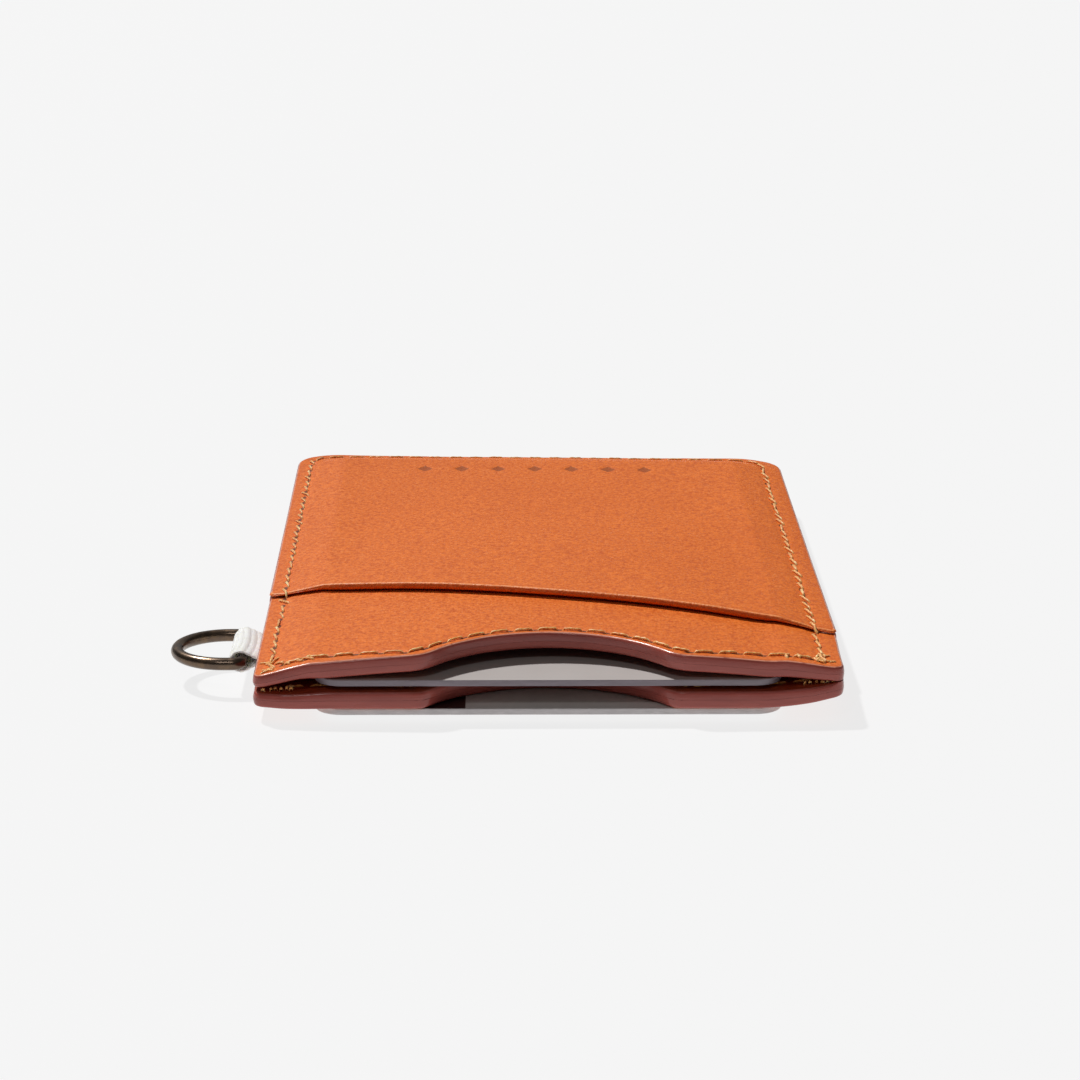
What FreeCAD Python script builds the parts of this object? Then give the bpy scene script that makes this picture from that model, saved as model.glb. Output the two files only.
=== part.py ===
"""A slim leather card wallet: six leather layers sewn into a front, a centre and a back pocket, with a D-ring on a
ribbon tab and two plastic cards.  Millimetres.  X across the wallet, Y from the pocket mouths to the closed end,
Z up from the flat face of the back pocket, on which the wallet lies."""
import FreeCAD, Part
import math
import os
import Sketcher

Vector = FreeCAD.Vector
doc = FreeCAD.newDocument("card_wallet")
sheet = doc.addObject("Spreadsheet::Sheet", "dims")

# Driving dimensions, in millimetres.
DIMENSIONS = {
    "wallet_width": 68, "wallet_length": 100,
    "closed_corner_radius": 5, "mouth_corner_radius": 1.5,
    "panel_thickness": 1.05, "lining_thickness": 0.95, "pocket_thickness": 0.85,
    "glue_gap": 0.02, "tape_thickness": 0.1, "tape_width": 2.2, "tape_inset": 0.3,
    "tape_setback": 0.5,
    "back_panel_height": 1.78,
    # How far the front stack and the two outer pockets stand away from the seams.
    "stack_rise": 2.2, "front_pocket_rise": 2.45, "back_pocket_drop": 0.85,
    # Where each bow starts and ends: across from the centre line, and along towards the closed end.
    "bow_start": 22, "bow_end": 31.8, "bow_far_start": 38, "bow_far_end": 47.6,
    "tray_start": 27.5, "tray_end": 31.8, "tray_far_start": 43.2, "tray_far_end": 47.9,
    "notch_depth": 7.8, "notch_radius": 17, "front_shoulder_radius": 4, "back_shoulder_radius": 2.6,
    # An outer pocket's edge slopes: its distance from the mouths at one side and at the other.
    "slot_high": 32.2, "slot_low": 14.8,
    "card_width": 53.98, "card_length": 85.6, "card_thickness": 0.76, "card_radius": 3.18,
    "back_card_height": 0.9, "centre_card_height": 4.35,
    "stripe_width": 12.7, "stripe_inset": 4.7, "stripe_thickness": 0.05,
    "ring_wire": 1.5, "ring_bow_radius": 5.9, "ring_reach": 8, "ring_corner": 1,
    "ring_offset": 2.1, "ring_from_mouth": 16.4,
    "tab_width": 10, "tab_ply": 0.45, "tab_depth": 5.5, "bar_clearance": 0.05,
    # Play round the ribbon's ends where they are held: along and across the seam, and above and below.
    "tab_play": 0.1, "tab_gap": 0.03,
    # A pulled stitch sinks into the leather; the row that faces the back card lies almost flush.
    "thread_width": 0.5, "thread_sink": 0.2, "thread_deep_sink": 0.45,
    "stitch_pitch": 2.85, "stitch_length": 2.25, "stitch_margin": 2.3, "mouth_margin": 2.1,
    "trim_height": 20,                       # the outlines stand this tall where they cut a bowed layer
}
for row, (alias, number) in enumerate(DIMENSIONS.items(), start=1):
    sheet.set(f"A{row}", alias)
    sheet.set(f"B{row}", str(number))
    sheet.setAlias(f"B{row}", alias)
doc.recompute()


def dim(alias):
    """A driving dimension as a plain number."""
    return float(sheet.get(alias))


HALF_WIDTH = dim("wallet_width") / 2
HALF_LENGTH = dim("wallet_length") / 2
MOUTH_Y = -HALF_LENGTH
RING_X = -HALF_WIDTH - dim("ring_offset")
RIM = 1                                      # layers are made this much too large, then cut to their outline

# Height of each layer's lower face along the seams, from the back of the wallet to its front.
BACK_PANEL_Z = dim("back_panel_height")
BACK_TAPE_Z = BACK_PANEL_Z - dim("tape_thickness")
BACK_POCKET_Z = BACK_TAPE_Z - dim("pocket_thickness")
BACK_LINING_Z = BACK_PANEL_Z + dim("panel_thickness") + dim("glue_gap")
CENTRE_TAPE_Z = BACK_LINING_Z + dim("lining_thickness")
FRONT_LINING_Z = CENTRE_TAPE_Z + dim("tape_thickness")
FRONT_PANEL_Z = FRONT_LINING_Z + dim("lining_thickness") + dim("glue_gap")
FRONT_TAPE_Z = FRONT_PANEL_Z + dim("panel_thickness")
FRONT_POCKET_Z = FRONT_TAPE_Z + dim("tape_thickness")

# Expressions for the same heights, for the pieces that are bound to the sheet.
BACK_LINING_HEIGHT = "dims.back_panel_height + dims.panel_thickness + dims.glue_gap"
SEAM_HEIGHT = BACK_LINING_HEIGHT + " + dims.lining_thickness + dims.tape_thickness / 2"
RING_Y = "dims.ring_from_mouth - dims.wallet_length / 2"


# ---- bowed sheets ----------------------------------------------------------------------------------------------
def arch(distance, start, end):
    """1 up to start, then a parabola down to 0 at end, softened where it meets the flat seam."""
    softening = 0.1
    left = (end - distance) / (end - start)
    left = (left + math.hypot(left, softening)) / 2
    return 1.0 if left >= 1 else 1 - (1 - left) ** 2


def stack_bow(x, y):
    """How far the front stack has risen from the seams at a point, from 0 to 1."""
    return (arch(abs(x), dim("bow_start"), dim("bow_end"))
            * arch(y, dim("bow_far_start"), dim("bow_far_end")))


def tray_bow(x, y):
    """The same for the back pocket, which stays flat under the whole card and bends close to its edges."""
    return (arch(abs(x), dim("tray_start"), dim("tray_end"))
            * arch(y, dim("tray_far_start"), dim("tray_far_end")))


def stations(stops, step):
    """Grid positions that include every stop, no further apart than step."""
    places = [stops[0]]
    for low, high in zip(stops, stops[1:]):
        parts = max(1, math.ceil((high - low) / step))
        places += [low + (high - low) * n / parts for n in range(1, parts + 1)]
    return places


def bowed_sheet(name, seam_z, rise, thickness, bow=stack_bow):
    """A sheet of even thickness that lies at seam_z along the seams and stands rise away from it between them."""
    wide, fine = 2, 0.6
    side = stations([dim("bow_start"), dim("tray_start"), dim("bow_end"), HALF_WIDTH + RIM], fine)
    middle = stations([-side[0], side[0]], wide)
    xs = [-x for x in reversed(side)] + middle[1:-1] + side
    ys = (stations([MOUTH_Y - RIM, dim("bow_far_start")], 4 * wide)
          + stations([dim("bow_far_start"), dim("tray_far_start"), HALF_LENGTH + RIM], fine)[1:])
    surface = Part.BSplineSurface()
    surface.interpolate([[Vector(x, y, seam_z + rise * bow(x, y)) for y in ys] for x in xs])
    face = doc.addObject("Part::Feature", name + "_face")
    face.Shape = surface.toShape()
    solid = doc.addObject("Part::Extrusion", name + "_sheet")
    solid.Base = face
    solid.DirMode = "Custom"
    solid.Dir = Vector(0, 0, 1)
    solid.Solid = True
    solid.setExpression("LengthFwd", f"dims.{thickness}")
    return solid


# ---- outlines, as sketches -------------------------------------------------------------------------------------
def attach_sketch(body, name, role="XY_Plane"):
    """A new sketch on one of the body's own origin planes."""
    sketch = body.newObject("Sketcher::SketchObject", name)
    plane = next(f for f in body.Origin.OriginFeatures if f.Role == role)
    sketch.AttachmentSupport = [(plane, "")]
    sketch.MapMode = "FlatFace"
    return sketch


def new_body(name):
    body = doc.addObject("PartDesign::Body", name)
    body.Label = name
    return body


def bind(sketch, kind, arguments, expression):
    """Adds a dimension to the sketch whose size is an expression on the sheet."""
    value = float(sketch.evalExpression(expression))
    index = sketch.addConstraint(Sketcher.Constraint(kind, *arguments, value))
    sketch.setExpression(f"Constraints[{index}]", expression)


def pad(body, sketch, length, both_ways=False):
    feature = body.newObject("PartDesign::Pad", body.Name + "_pad")
    feature.Profile = sketch
    feature.Midplane = both_ways
    feature.setExpression("Length", length)


def rounded_loop(corners, radii):
    """The arcs and lines of a closed outline, each corner with its own radius, 0 for a sharp one."""
    points = [Vector(*corner, 0) for corner in corners]
    bends = []
    for n, (corner, radius) in enumerate(zip(points, radii)):
        back = (points[n - 1] - corner).normalize()
        ahead = (points[(n + 1) % len(points)] - corner).normalize()
        half = back.getAngle(ahead) / 2
        reach = radius / math.tan(half)
        middle = corner + (back + ahead).normalize() * (radius / math.sin(half) - radius)
        bends.append((corner + back * reach, middle, corner + ahead * reach))
    edges = []
    for n, radius in enumerate(radii):
        if radius:
            edges.append(Part.Arc(*bends[n]))
        edges.append(Part.LineSegment(bends[n][2], bends[(n + 1) % len(bends)][0]))
    return edges


def draw_loop(sketch, edges, smooth=()):
    """Adds the edges and joins their ends; the joints listed as smooth are tangent as well."""
    for edge in edges:
        sketch.addGeometry(edge, False)
    for n in range(len(edges)):
        kind = "Tangent" if n in smooth else "Coincident"
        sketch.addConstraint(Sketcher.Constraint(kind, n, 2, (n + 1) % len(edges), 1))


def pocket_outline(name, left_cut, right_cut):
    """An outer pocket's outline: rounded at the closed end, cut on a slope towards the mouths."""
    body = new_body(name)
    sketch = attach_sketch(body, name + "_sketch")
    bend = dim("closed_corner_radius")
    corners = [(-HALF_WIDTH, MOUTH_Y + dim(left_cut)), (HALF_WIDTH, MOUTH_Y + dim(right_cut)),
               (HALF_WIDTH, HALF_LENGTH), (-HALF_WIDTH, HALF_LENGTH)]
    slope, right, right_bend, far, left_bend, left = range(6)
    draw_loop(sketch, rounded_loop(corners, [0, 0, bend, bend]), smooth=(right, right_bend, far, left_bend))
    for line, kind in ((right, "Vertical"), (far, "Horizontal"), (left, "Vertical")):
        sketch.addConstraint(Sketcher.Constraint(kind, line))
    for arc in (right_bend, left_bend):
        bind(sketch, "Radius", (arc,), "dims.closed_corner_radius")
    bind(sketch, "DistanceX", (-1, 1, slope, 2), "dims.wallet_width / 2")
    bind(sketch, "DistanceX", (slope, 1, -1, 1), "dims.wallet_width / 2")
    bind(sketch, "DistanceY", (-1, 1, far, 1), "dims.wallet_length / 2")
    bind(sketch, "DistanceY", (slope, 1, -1, 1), f"dims.wallet_length / 2 - dims.{left_cut}")
    bind(sketch, "DistanceY", (slope, 2, -1, 1), f"dims.wallet_length / 2 - dims.{right_cut}")
    pad(body, sketch, "dims.trim_height")
    return body


def rounded_plate(name, corners, bends, width, near, far, thickness):
    """A rounded rectangle: bends are the corner radii's aliases, near and far its ends as expressions."""
    body = new_body(name)
    sketch = attach_sketch(body, name + "_sketch")
    near_left, mouth, near_right, right, far_right, end, far_left, left = range(8)
    draw_loop(sketch, rounded_loop(corners, [dim(bend) for bend in bends]), smooth=range(8))
    for line, kind in ((mouth, "Horizontal"), (right, "Vertical"), (end, "Horizontal")):
        sketch.addConstraint(Sketcher.Constraint(kind, line))
    for arc, bend in zip((near_left, near_right, far_right, far_left), bends):
        bind(sketch, "Radius", (arc,), f"dims.{bend}")
    bind(sketch, "DistanceX", (-1, 1, right, 1), width)
    bind(sketch, "DistanceX", (left, 1, -1, 1), width)
    bind(sketch, "DistanceY", (mouth, 1, -1, 1), near)
    bind(sketch, "DistanceY", (-1, 1, end, 1), far)
    pad(body, sketch, thickness)
    return body


def leather_plate(name, shoulder, thickness):
    """The outline that a panel and its lining share, with the thumb notch cut in the mouth."""
    corners = [(-HALF_WIDTH, MOUTH_Y), (HALF_WIDTH, MOUTH_Y), (HALF_WIDTH, HALF_LENGTH), (-HALF_WIDTH, HALF_LENGTH)]
    bends = ["mouth_corner_radius", "mouth_corner_radius", "closed_corner_radius", "closed_corner_radius"]
    half_length = "dims.wallet_length / 2"
    body = rounded_plate(name, corners, bends, "dims.wallet_width / 2", half_length, half_length, thickness)
    doc.recompute()
    whole = body.Shape.Volume
    notch = attach_sketch(body, name + "_notch_sketch")
    draw_notch(notch, shoulder)
    pocket = body.newObject("PartDesign::Pocket", name + "_notch")
    pocket.Profile = notch
    pocket.Type = "ThroughAll"
    pocket.Midplane = True
    doc.recompute()
    if body.Shape.Volume >= whole:
        raise SystemExit(f"the notch of {name} removed nothing")
    return body


def notch_curve(inset, shoulder):
    """Points of the right half of a line inset from the notch's edge: the arch's centre and the shoulder's."""
    arch_radius = dim("notch_radius") + inset
    bend = dim(shoulder) - inset
    centre = Vector(0, MOUTH_Y + dim("notch_depth") - dim("notch_radius"), 0)
    shoulder_y = MOUTH_Y + dim(shoulder)
    shoulder_x = math.sqrt((arch_radius + bend) ** 2 - (shoulder_y - centre.y) ** 2)
    shoulder_centre = Vector(shoulder_x, shoulder_y, 0)
    lean = math.atan2(shoulder_y - centre.y, shoulder_x)
    touch = centre + Vector(math.cos(lean), math.sin(lean), 0) * arch_radius
    waist = (lean + math.pi + 1.5 * math.pi) / 2          # halfway from the arch's end to the mouth line
    middle = shoulder_centre + Vector(math.cos(waist), math.sin(waist), 0) * bend
    foot = shoulder_centre - Vector(0, bend, 0)
    top = centre + Vector(0, arch_radius, 0)
    return top, touch, middle, foot


def mirrored(point):
    return Vector(-point.x, point.y, point.z)


def draw_notch(sketch, shoulder):
    """An arch between two shoulders that flow into the mouth line, closed outside the leather."""
    overshoot = 3
    top, touch, middle, foot = notch_curve(0, shoulder)
    outside = foot - Vector(0, overshoot, 0)
    edges = [Part.Arc(touch, top, mirrored(touch)),
             Part.Arc(mirrored(touch), mirrored(middle), mirrored(foot)),
             Part.LineSegment(mirrored(foot), mirrored(outside)),
             Part.LineSegment(mirrored(outside), outside),
             Part.LineSegment(outside, foot),
             Part.Arc(foot, middle, touch)]
    for edge in edges:
        sketch.addGeometry(edge, False)
    arch_arc, left_arc, left_line, outer_line, right_line, right_arc = range(6)
    # Sketches keep arcs anticlockwise, so the two shoulders start at the mouth line and at the arch.
    joints = [("Tangent", arch_arc, 2, left_arc, 2), ("Coincident", left_arc, 1, left_line, 1),
              ("Coincident", left_line, 2, outer_line, 1), ("Coincident", outer_line, 2, right_line, 1),
              ("Coincident", right_line, 2, right_arc, 2), ("Tangent", right_arc, 1, arch_arc, 1)]
    for joint in joints:
        sketch.addConstraint(Sketcher.Constraint(*joint))
    for line, kind in ((left_line, "Vertical"), (outer_line, "Horizontal"), (right_line, "Vertical")):
        sketch.addConstraint(Sketcher.Constraint(kind, line))
    sketch.addConstraint(Sketcher.Constraint("PointOnObject", arch_arc, 3, -2))
    bind(sketch, "Radius", (arch_arc,), "dims.notch_radius")
    bind(sketch, "DistanceY", (arch_arc, 3, -1, 1), "dims.wallet_length / 2 - dims.notch_depth + dims.notch_radius")
    bind(sketch, "DistanceY", (outer_line, 1, -1, 1), f"dims.wallet_length / 2 + {overshoot}")
    for arc, mouth_end in ((left_arc, 1), (right_arc, 2)):
        bind(sketch, "Radius", (arc,), f"dims.{shoulder}")
        bind(sketch, "DistanceY", (arc, 3, -1, 1), f"dims.wallet_length / 2 - dims.{shoulder}")
        sketch.addConstraint(Sketcher.Constraint("Vertical", arc, mouth_end, arc, 3))


def tape_outline(name, left_cut, right_cut):
    """A strip that follows the two sides and the closed end, open at the mouths."""
    body = new_body(name)
    sketch = attach_sketch(body, name + "_sketch")
    outset = dim("tape_inset")
    inset = outset + dim("tape_width")
    x, far, bend = HALF_WIDTH - outset, HALF_LENGTH - outset, dim("closed_corner_radius") - outset
    inner_x, inner_far, inner_bend = HALF_WIDTH - inset, HALF_LENGTH - inset, dim("closed_corner_radius") - inset
    left_y, right_y = MOUTH_Y + left_cut, MOUTH_Y + right_cut
    corners = [(-x, left_y), (-inner_x, left_y), (-inner_x, inner_far), (inner_x, inner_far),
               (inner_x, right_y), (x, right_y), (x, far), (-x, far)]
    for edge in rounded_loop(corners, [0, 0, inner_bend, inner_bend, 0, 0, bend, bend]):
        sketch.addGeometry(edge, False)
    pad(body, sketch, "dims.trim_height")
    return body


def common(name, base, tool):
    piece = doc.addObject("Part::Common", name)
    piece.Base = base
    piece.Tool = tool
    return piece


def cut(name, base, tool):
    piece = doc.addObject("Part::Cut", name)
    piece.Base = base
    piece.Tool = tool
    return piece


def box(name, size, place):
    """A box with its sizes and place given as expressions on the sheet."""
    feature = doc.addObject("Part::Box", name)
    for key, expression in zip(("Length", "Width", "Height"), size):
        feature.setExpression(key, expression)
    for axis, expression in zip("xyz", place):
        feature.setExpression(f"Placement.Base.{axis}", expression)
    return feature


# ---- thread ----------------------------------------------------------------------------------------------------
def seam_path():
    """The main seam: up the left side, across the closed end and down the right side."""
    x, far = HALF_WIDTH - dim("stitch_margin"), HALF_LENGTH - dim("stitch_margin")
    bend = dim("closed_corner_radius") - dim("stitch_margin")
    start_y = MOUTH_Y + dim("mouth_margin")
    corner_x, corner_y = x - bend * (1 - math.sqrt(0.5)), far - bend * (1 - math.sqrt(0.5))
    edges = [Part.LineSegment(Vector(-x, start_y, 0), Vector(-x, far - bend, 0)),
             Part.Arc(Vector(-x, far - bend, 0), Vector(-corner_x, corner_y, 0), Vector(bend - x, far, 0)),
             Part.LineSegment(Vector(bend - x, far, 0), Vector(x - bend, far, 0)),
             Part.Arc(Vector(x - bend, far, 0), Vector(corner_x, corner_y, 0), Vector(x, far - bend, 0)),
             Part.LineSegment(Vector(x, far - bend, 0), Vector(x, start_y, 0))]
    return Part.Wire([edge.toShape() for edge in edges])


def mouth_path(shoulder):
    """The row that runs along a mouth and round its thumb notch, a margin inside the edge."""
    top, touch, middle, foot = notch_curve(dim("mouth_margin"), shoulder)
    end = Vector(HALF_WIDTH - dim("stitch_margin") - dim("stitch_pitch") / 2, foot.y, 0)
    edges = [Part.LineSegment(mirrored(end), mirrored(foot)),
             Part.Arc(mirrored(foot), mirrored(middle), mirrored(touch)),
             Part.Arc(mirrored(touch), top, touch),
             Part.Arc(touch, middle, foot),
             Part.LineSegment(foot, end)]
    return Part.Wire([edge.toShape() for edge in edges])


def stitches(name, path, level):
    """One short round rod for each stitch along the path; level gives the height of a rod's axis at a point."""
    count = round(path.Length / dim("stitch_pitch"))
    holes = path.discretize(Number=count + 1)
    rods = []
    for start, end in zip(holes, holes[1:]):
        middle = (start + end) * 0.5
        half = (end - start).normalize() * (dim("stitch_length") / 2)
        first, last = middle - half, middle + half
        first.z, last.z = level(first), level(last)
        rods.append(Part.makeCylinder(dim("thread_width") / 2, (last - first).Length, first, last - first))
    feature = doc.addObject("Part::Feature", name)
    feature.Shape = Part.makeCompound(rods)
    feature.Label = name
    return feature


def on_face(face_z, side, rise=0, bow=stack_bow, sink="thread_sink"):
    """The level of a thread pulled into a face; side is 1 for an upper face and -1 for a lower one."""
    lift = side * (dim("thread_width") / 2 - dim(sink))
    return lambda point: face_z + rise * bow(point.x, point.y) + lift


def over_step(side, near_level, far_level):
    """A thread that changes level one stitch before an outer pocket's sloping edge."""
    middle_cut = (dim("slot_high") + dim("slot_low")) / 2
    slope = (dim("slot_low") - dim("slot_high")) / dim("wallet_width")

    def level(point):
        edge_y = MOUTH_Y + middle_cut + side * slope * point.x
        return (far_level if point.y > edge_y - dim("stitch_length") else near_level)(point)
    return level


def thread():
    front_face = on_face(FRONT_PANEL_Z + dim("panel_thickness"), 1, dim("stack_rise"))
    front_pocket_face = on_face(FRONT_POCKET_Z + dim("pocket_thickness"), 1, dim("front_pocket_rise"))
    back_pocket_face = on_face(BACK_POCKET_Z, -1, -dim("back_pocket_drop"), tray_bow)
    front_mouth, back_mouth = mouth_path("front_shoulder_radius"), mouth_path("back_shoulder_radius")
    return [
        stitches("seam_front_thread", seam_path(), over_step(1, front_face, front_pocket_face)),
        stitches("seam_back_thread", seam_path(), over_step(-1, on_face(BACK_PANEL_Z, -1), back_pocket_face)),
        stitches("front_mouth_outer_thread", front_mouth, front_face),
        stitches("front_mouth_inner_thread", front_mouth, on_face(FRONT_LINING_Z, -1, dim("stack_rise"))),
        stitches("back_mouth_inner_thread", back_mouth, on_face(CENTRE_TAPE_Z, 1)),
        stitches("back_mouth_outer_thread", back_mouth, on_face(BACK_PANEL_Z, -1, sink="thread_deep_sink")),
    ]


# ---- leather and tape ------------------------------------------------------------------------------------------
def tab_recess():
    """The space between the two linings that the ribbon's ends fill."""
    return box("tab_recess",
               (f"dims.tab_depth + {RIM}", "dims.tab_width + 2 * dims.tab_play", "2 * (dims.tab_ply + dims.tab_gap)"),
               (f"-dims.wallet_width / 2 - {RIM}", RING_Y + " - dims.tab_width / 2 - dims.tab_play",
                SEAM_HEIGHT + " - dims.tab_ply - dims.tab_gap"))


def front_layers(recess):
    """The bowed side of the wallet: lining and panel share one outline, the outer pocket has its own."""
    stack = leather_plate("front_stack_outline", "front_shoulder_radius", "dims.trim_height")
    slope = pocket_outline("front_pocket_outline", "slot_high", "slot_low")
    rise, pocket_rise = dim("stack_rise"), dim("front_pocket_rise")
    lining = common("front_lining_whole",
                    bowed_sheet("front_lining", FRONT_LINING_Z, rise, "lining_thickness"), stack)
    return [
        cut("front_lining", lining, recess),
        common("front_panel", bowed_sheet("front_panel", FRONT_PANEL_Z, rise, "panel_thickness"), stack),
        common("front_pocket",
               bowed_sheet("front_pocket", FRONT_POCKET_Z, pocket_rise, "pocket_thickness"), slope),
    ]


def back_layers(recess):
    """The flat side: lining and panel, and the outer pocket that lies on the ground."""
    lining = leather_plate("back_lining_whole", "back_shoulder_radius", "dims.lining_thickness")
    lining.setExpression("Placement.Base.z", BACK_LINING_HEIGHT)
    panel = leather_plate("back_panel", "back_shoulder_radius", "dims.panel_thickness")
    panel.setExpression("Placement.Base.z", "dims.back_panel_height")
    slope = pocket_outline("back_pocket_outline", "slot_low", "slot_high")
    tray = common("back_pocket_whole", bowed_sheet("back_pocket", BACK_POCKET_Z, -dim("back_pocket_drop"),
                                                   "pocket_thickness", tray_bow), slope)
    ground = box("ground", ("2 * dims.wallet_width", "2 * dims.wallet_length", "dims.trim_height"),
                 ("-dims.wallet_width", "-dims.wallet_length", "-dims.trim_height"))
    return [cut("back_lining", lining, recess), panel, cut("back_pocket", tray, ground)]


def seam_tapes(recess):
    """Double-sided tape under each seam, set a little back from the pocket edges."""
    setback = dim("tape_setback")
    high, low = dim("slot_high") + setback, dim("slot_low") + setback
    centre = common("centre_tape_whole", bowed_sheet("centre_tape", CENTRE_TAPE_Z, 0, "tape_thickness"),
                    tape_outline("centre_tape_outline", setback, setback))
    return [
        cut("centre_seam_tape", centre, recess),
        common("front_seam_tape", bowed_sheet("front_tape", FRONT_TAPE_Z, dim("stack_rise"), "tape_thickness"),
               tape_outline("front_tape_outline", high, low)),
        common("back_seam_tape", bowed_sheet("back_tape", BACK_TAPE_Z, 0, "tape_thickness"),
               tape_outline("back_tape_outline", low, high)),
    ]


# ---- key tab and D-ring ----------------------------------------------------------------------------------------
def key_tab():
    """A folded ribbon: two plies held in the seam, opened into a loop round the ring's bar.  Drawn in XZ."""
    body = new_body("key_tab")
    sketch = attach_sketch(body, "key_tab_sketch", "XZ_Plane")
    ply = dim("tab_ply")
    outer = dim("ring_wire") / 2 + dim("bar_clearance") + ply
    tail = -HALF_WIDTH + dim("tab_depth") - dim("tab_play")
    lip = -HALF_WIDTH - dim("tab_play")
    turn = math.acos(outer / math.hypot(lip - RING_X, ply)) + math.atan2(ply, lip - RING_X)
    above = Vector(RING_X + outer * math.cos(turn), outer * math.sin(turn), 0)
    below = Vector(above.x, -above.y, 0)
    edges = [Part.LineSegment(Vector(tail, -ply, 0), Vector(tail, ply, 0)),
             Part.LineSegment(Vector(tail, ply, 0), Vector(lip, ply, 0)),
             Part.LineSegment(Vector(lip, ply, 0), above),
             Part.Arc(above, Vector(RING_X - outer, 0, 0), below),
             Part.LineSegment(below, Vector(lip, -ply, 0)),
             Part.LineSegment(Vector(lip, -ply, 0), Vector(tail, -ply, 0))]
    for edge in edges:
        sketch.addGeometry(edge, False)
    bore = sketch.addGeometry(Part.Circle(Vector(RING_X, 0, 0), Vector(0, 0, 1), outer - ply), False)
    bind(sketch, "Radius", (bore,), "dims.ring_wire / 2 + dims.bar_clearance")
    pad(body, sketch, "dims.tab_width", both_ways=True)
    body.setExpression("Placement.Base.y", RING_Y)
    body.setExpression("Placement.Base.z", SEAM_HEIGHT)
    return body


def d_ring():
    """Round wire bent into a D: a straight bar in the ribbon, two short arms and a half-round bow."""
    body = new_body("d_ring")
    path = attach_sketch(body, "d_ring_path")
    bow, corner = dim("ring_bow_radius"), dim("ring_corner")
    bow_x = RING_X - dim("ring_reach") + bow
    knee_x, knee_y = RING_X - corner * (1 - math.sqrt(0.5)), bow - corner * (1 - math.sqrt(0.5))
    edges = [Part.LineSegment(Vector(RING_X, corner - bow, 0), Vector(RING_X, bow - corner, 0)),
             Part.Arc(Vector(RING_X, bow - corner, 0), Vector(knee_x, knee_y, 0), Vector(RING_X - corner, bow, 0)),
             Part.LineSegment(Vector(RING_X - corner, bow, 0), Vector(bow_x, bow, 0)),
             Part.Arc(Vector(bow_x, bow, 0), Vector(bow_x - bow, 0, 0), Vector(bow_x, -bow, 0)),
             Part.LineSegment(Vector(bow_x, -bow, 0), Vector(RING_X - corner, -bow, 0)),
             Part.Arc(Vector(RING_X - corner, -bow, 0), Vector(knee_x, -knee_y, 0),
                      Vector(RING_X, corner - bow, 0))]
    draw_loop(path, edges)
    section = attach_sketch(body, "d_ring_section", "XZ_Plane")
    section.addGeometry(Part.Circle(Vector(RING_X, 0, 0), Vector(0, 0, 1), dim("ring_wire") / 2), False)
    section.addConstraint(Sketcher.Constraint("PointOnObject", 0, 3, -1))
    bind(section, "Radius", (0,), "dims.ring_wire / 2")
    bind(section, "DistanceX", (0, 3, -1, 1), "dims.wallet_width / 2 + dims.ring_offset")
    doc.recompute()
    wire = body.newObject("PartDesign::AdditivePipe", "d_ring_wire")
    wire.Profile = section
    wire.Spine = path
    body.setExpression("Placement.Base.y", RING_Y)
    body.setExpression("Placement.Base.z", SEAM_HEIGHT)
    return body


# ---- cards -----------------------------------------------------------------------------------------------------
def card(name, height):
    """A plastic card of the standard size, flush with the mouth."""
    x, far = dim("card_width") / 2, MOUTH_Y + dim("card_length")
    corners = [(-x, MOUTH_Y), (x, MOUTH_Y), (x, far), (-x, far)]
    body = rounded_plate(name, corners, ["card_radius"] * 4, "dims.card_width / 2", "dims.wallet_length / 2",
                         "dims.card_length - dims.wallet_length / 2", "dims.card_thickness")
    body.setExpression("Placement.Base.z", f"dims.{height}")
    return body


def cards():
    """A blank card in the centre pocket, and one with a magnetic stripe in the back pocket."""
    blank = card("back_card_blank", "back_card_height")
    place = ("dims.stripe_inset - dims.card_width / 2", "-dims.wallet_length / 2",
             "dims.back_card_height + dims.card_thickness - dims.stripe_thickness")
    footprint = ("dims.stripe_width", "dims.card_length")
    groove = box("stripe_groove", (*footprint, "dims.card_thickness"), place)
    return [card("centre_card", "centre_card_height"), cut("back_card", blank, groove),
            box("back_card_stripe", (*footprint, "dims.stripe_thickness"), place)]


def write(pieces):
    """Recomputes the document, checks every object and writes one STEP file for each piece."""
    doc.recompute()
    broken = [o.Name for o in doc.Objects if "Invalid" in o.State or "Error" in o.State]
    if broken:
        raise SystemExit(f"these objects failed: {broken}")
    os.makedirs("parts", exist_ok=True)
    for piece in pieces:
        shape = piece.Shape
        if shape.isNull() or not shape.isValid() or not shape.Solids:
            raise SystemExit(f"{piece.Label} has no valid solid")
        shape.exportStep(f"parts/{piece.Label}.step")
        low_high = shape.optimalBoundingBox()
        print(f"{piece.Label:26s} solids {len(shape.Solids):3d}  volume {shape.Volume:8.2f}"
              f"  x {low_high.XMin:7.2f} {low_high.XMax:7.2f}  y {low_high.YMin:7.2f} {low_high.YMax:7.2f}"
              f"  z {low_high.ZMin:5.2f} {low_high.ZMax:5.2f}")


tab_space = tab_recess()
write(front_layers(tab_space) + back_layers(tab_space) + seam_tapes(tab_space) + thread()
      + [key_tab(), d_ring()] + cards())
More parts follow.
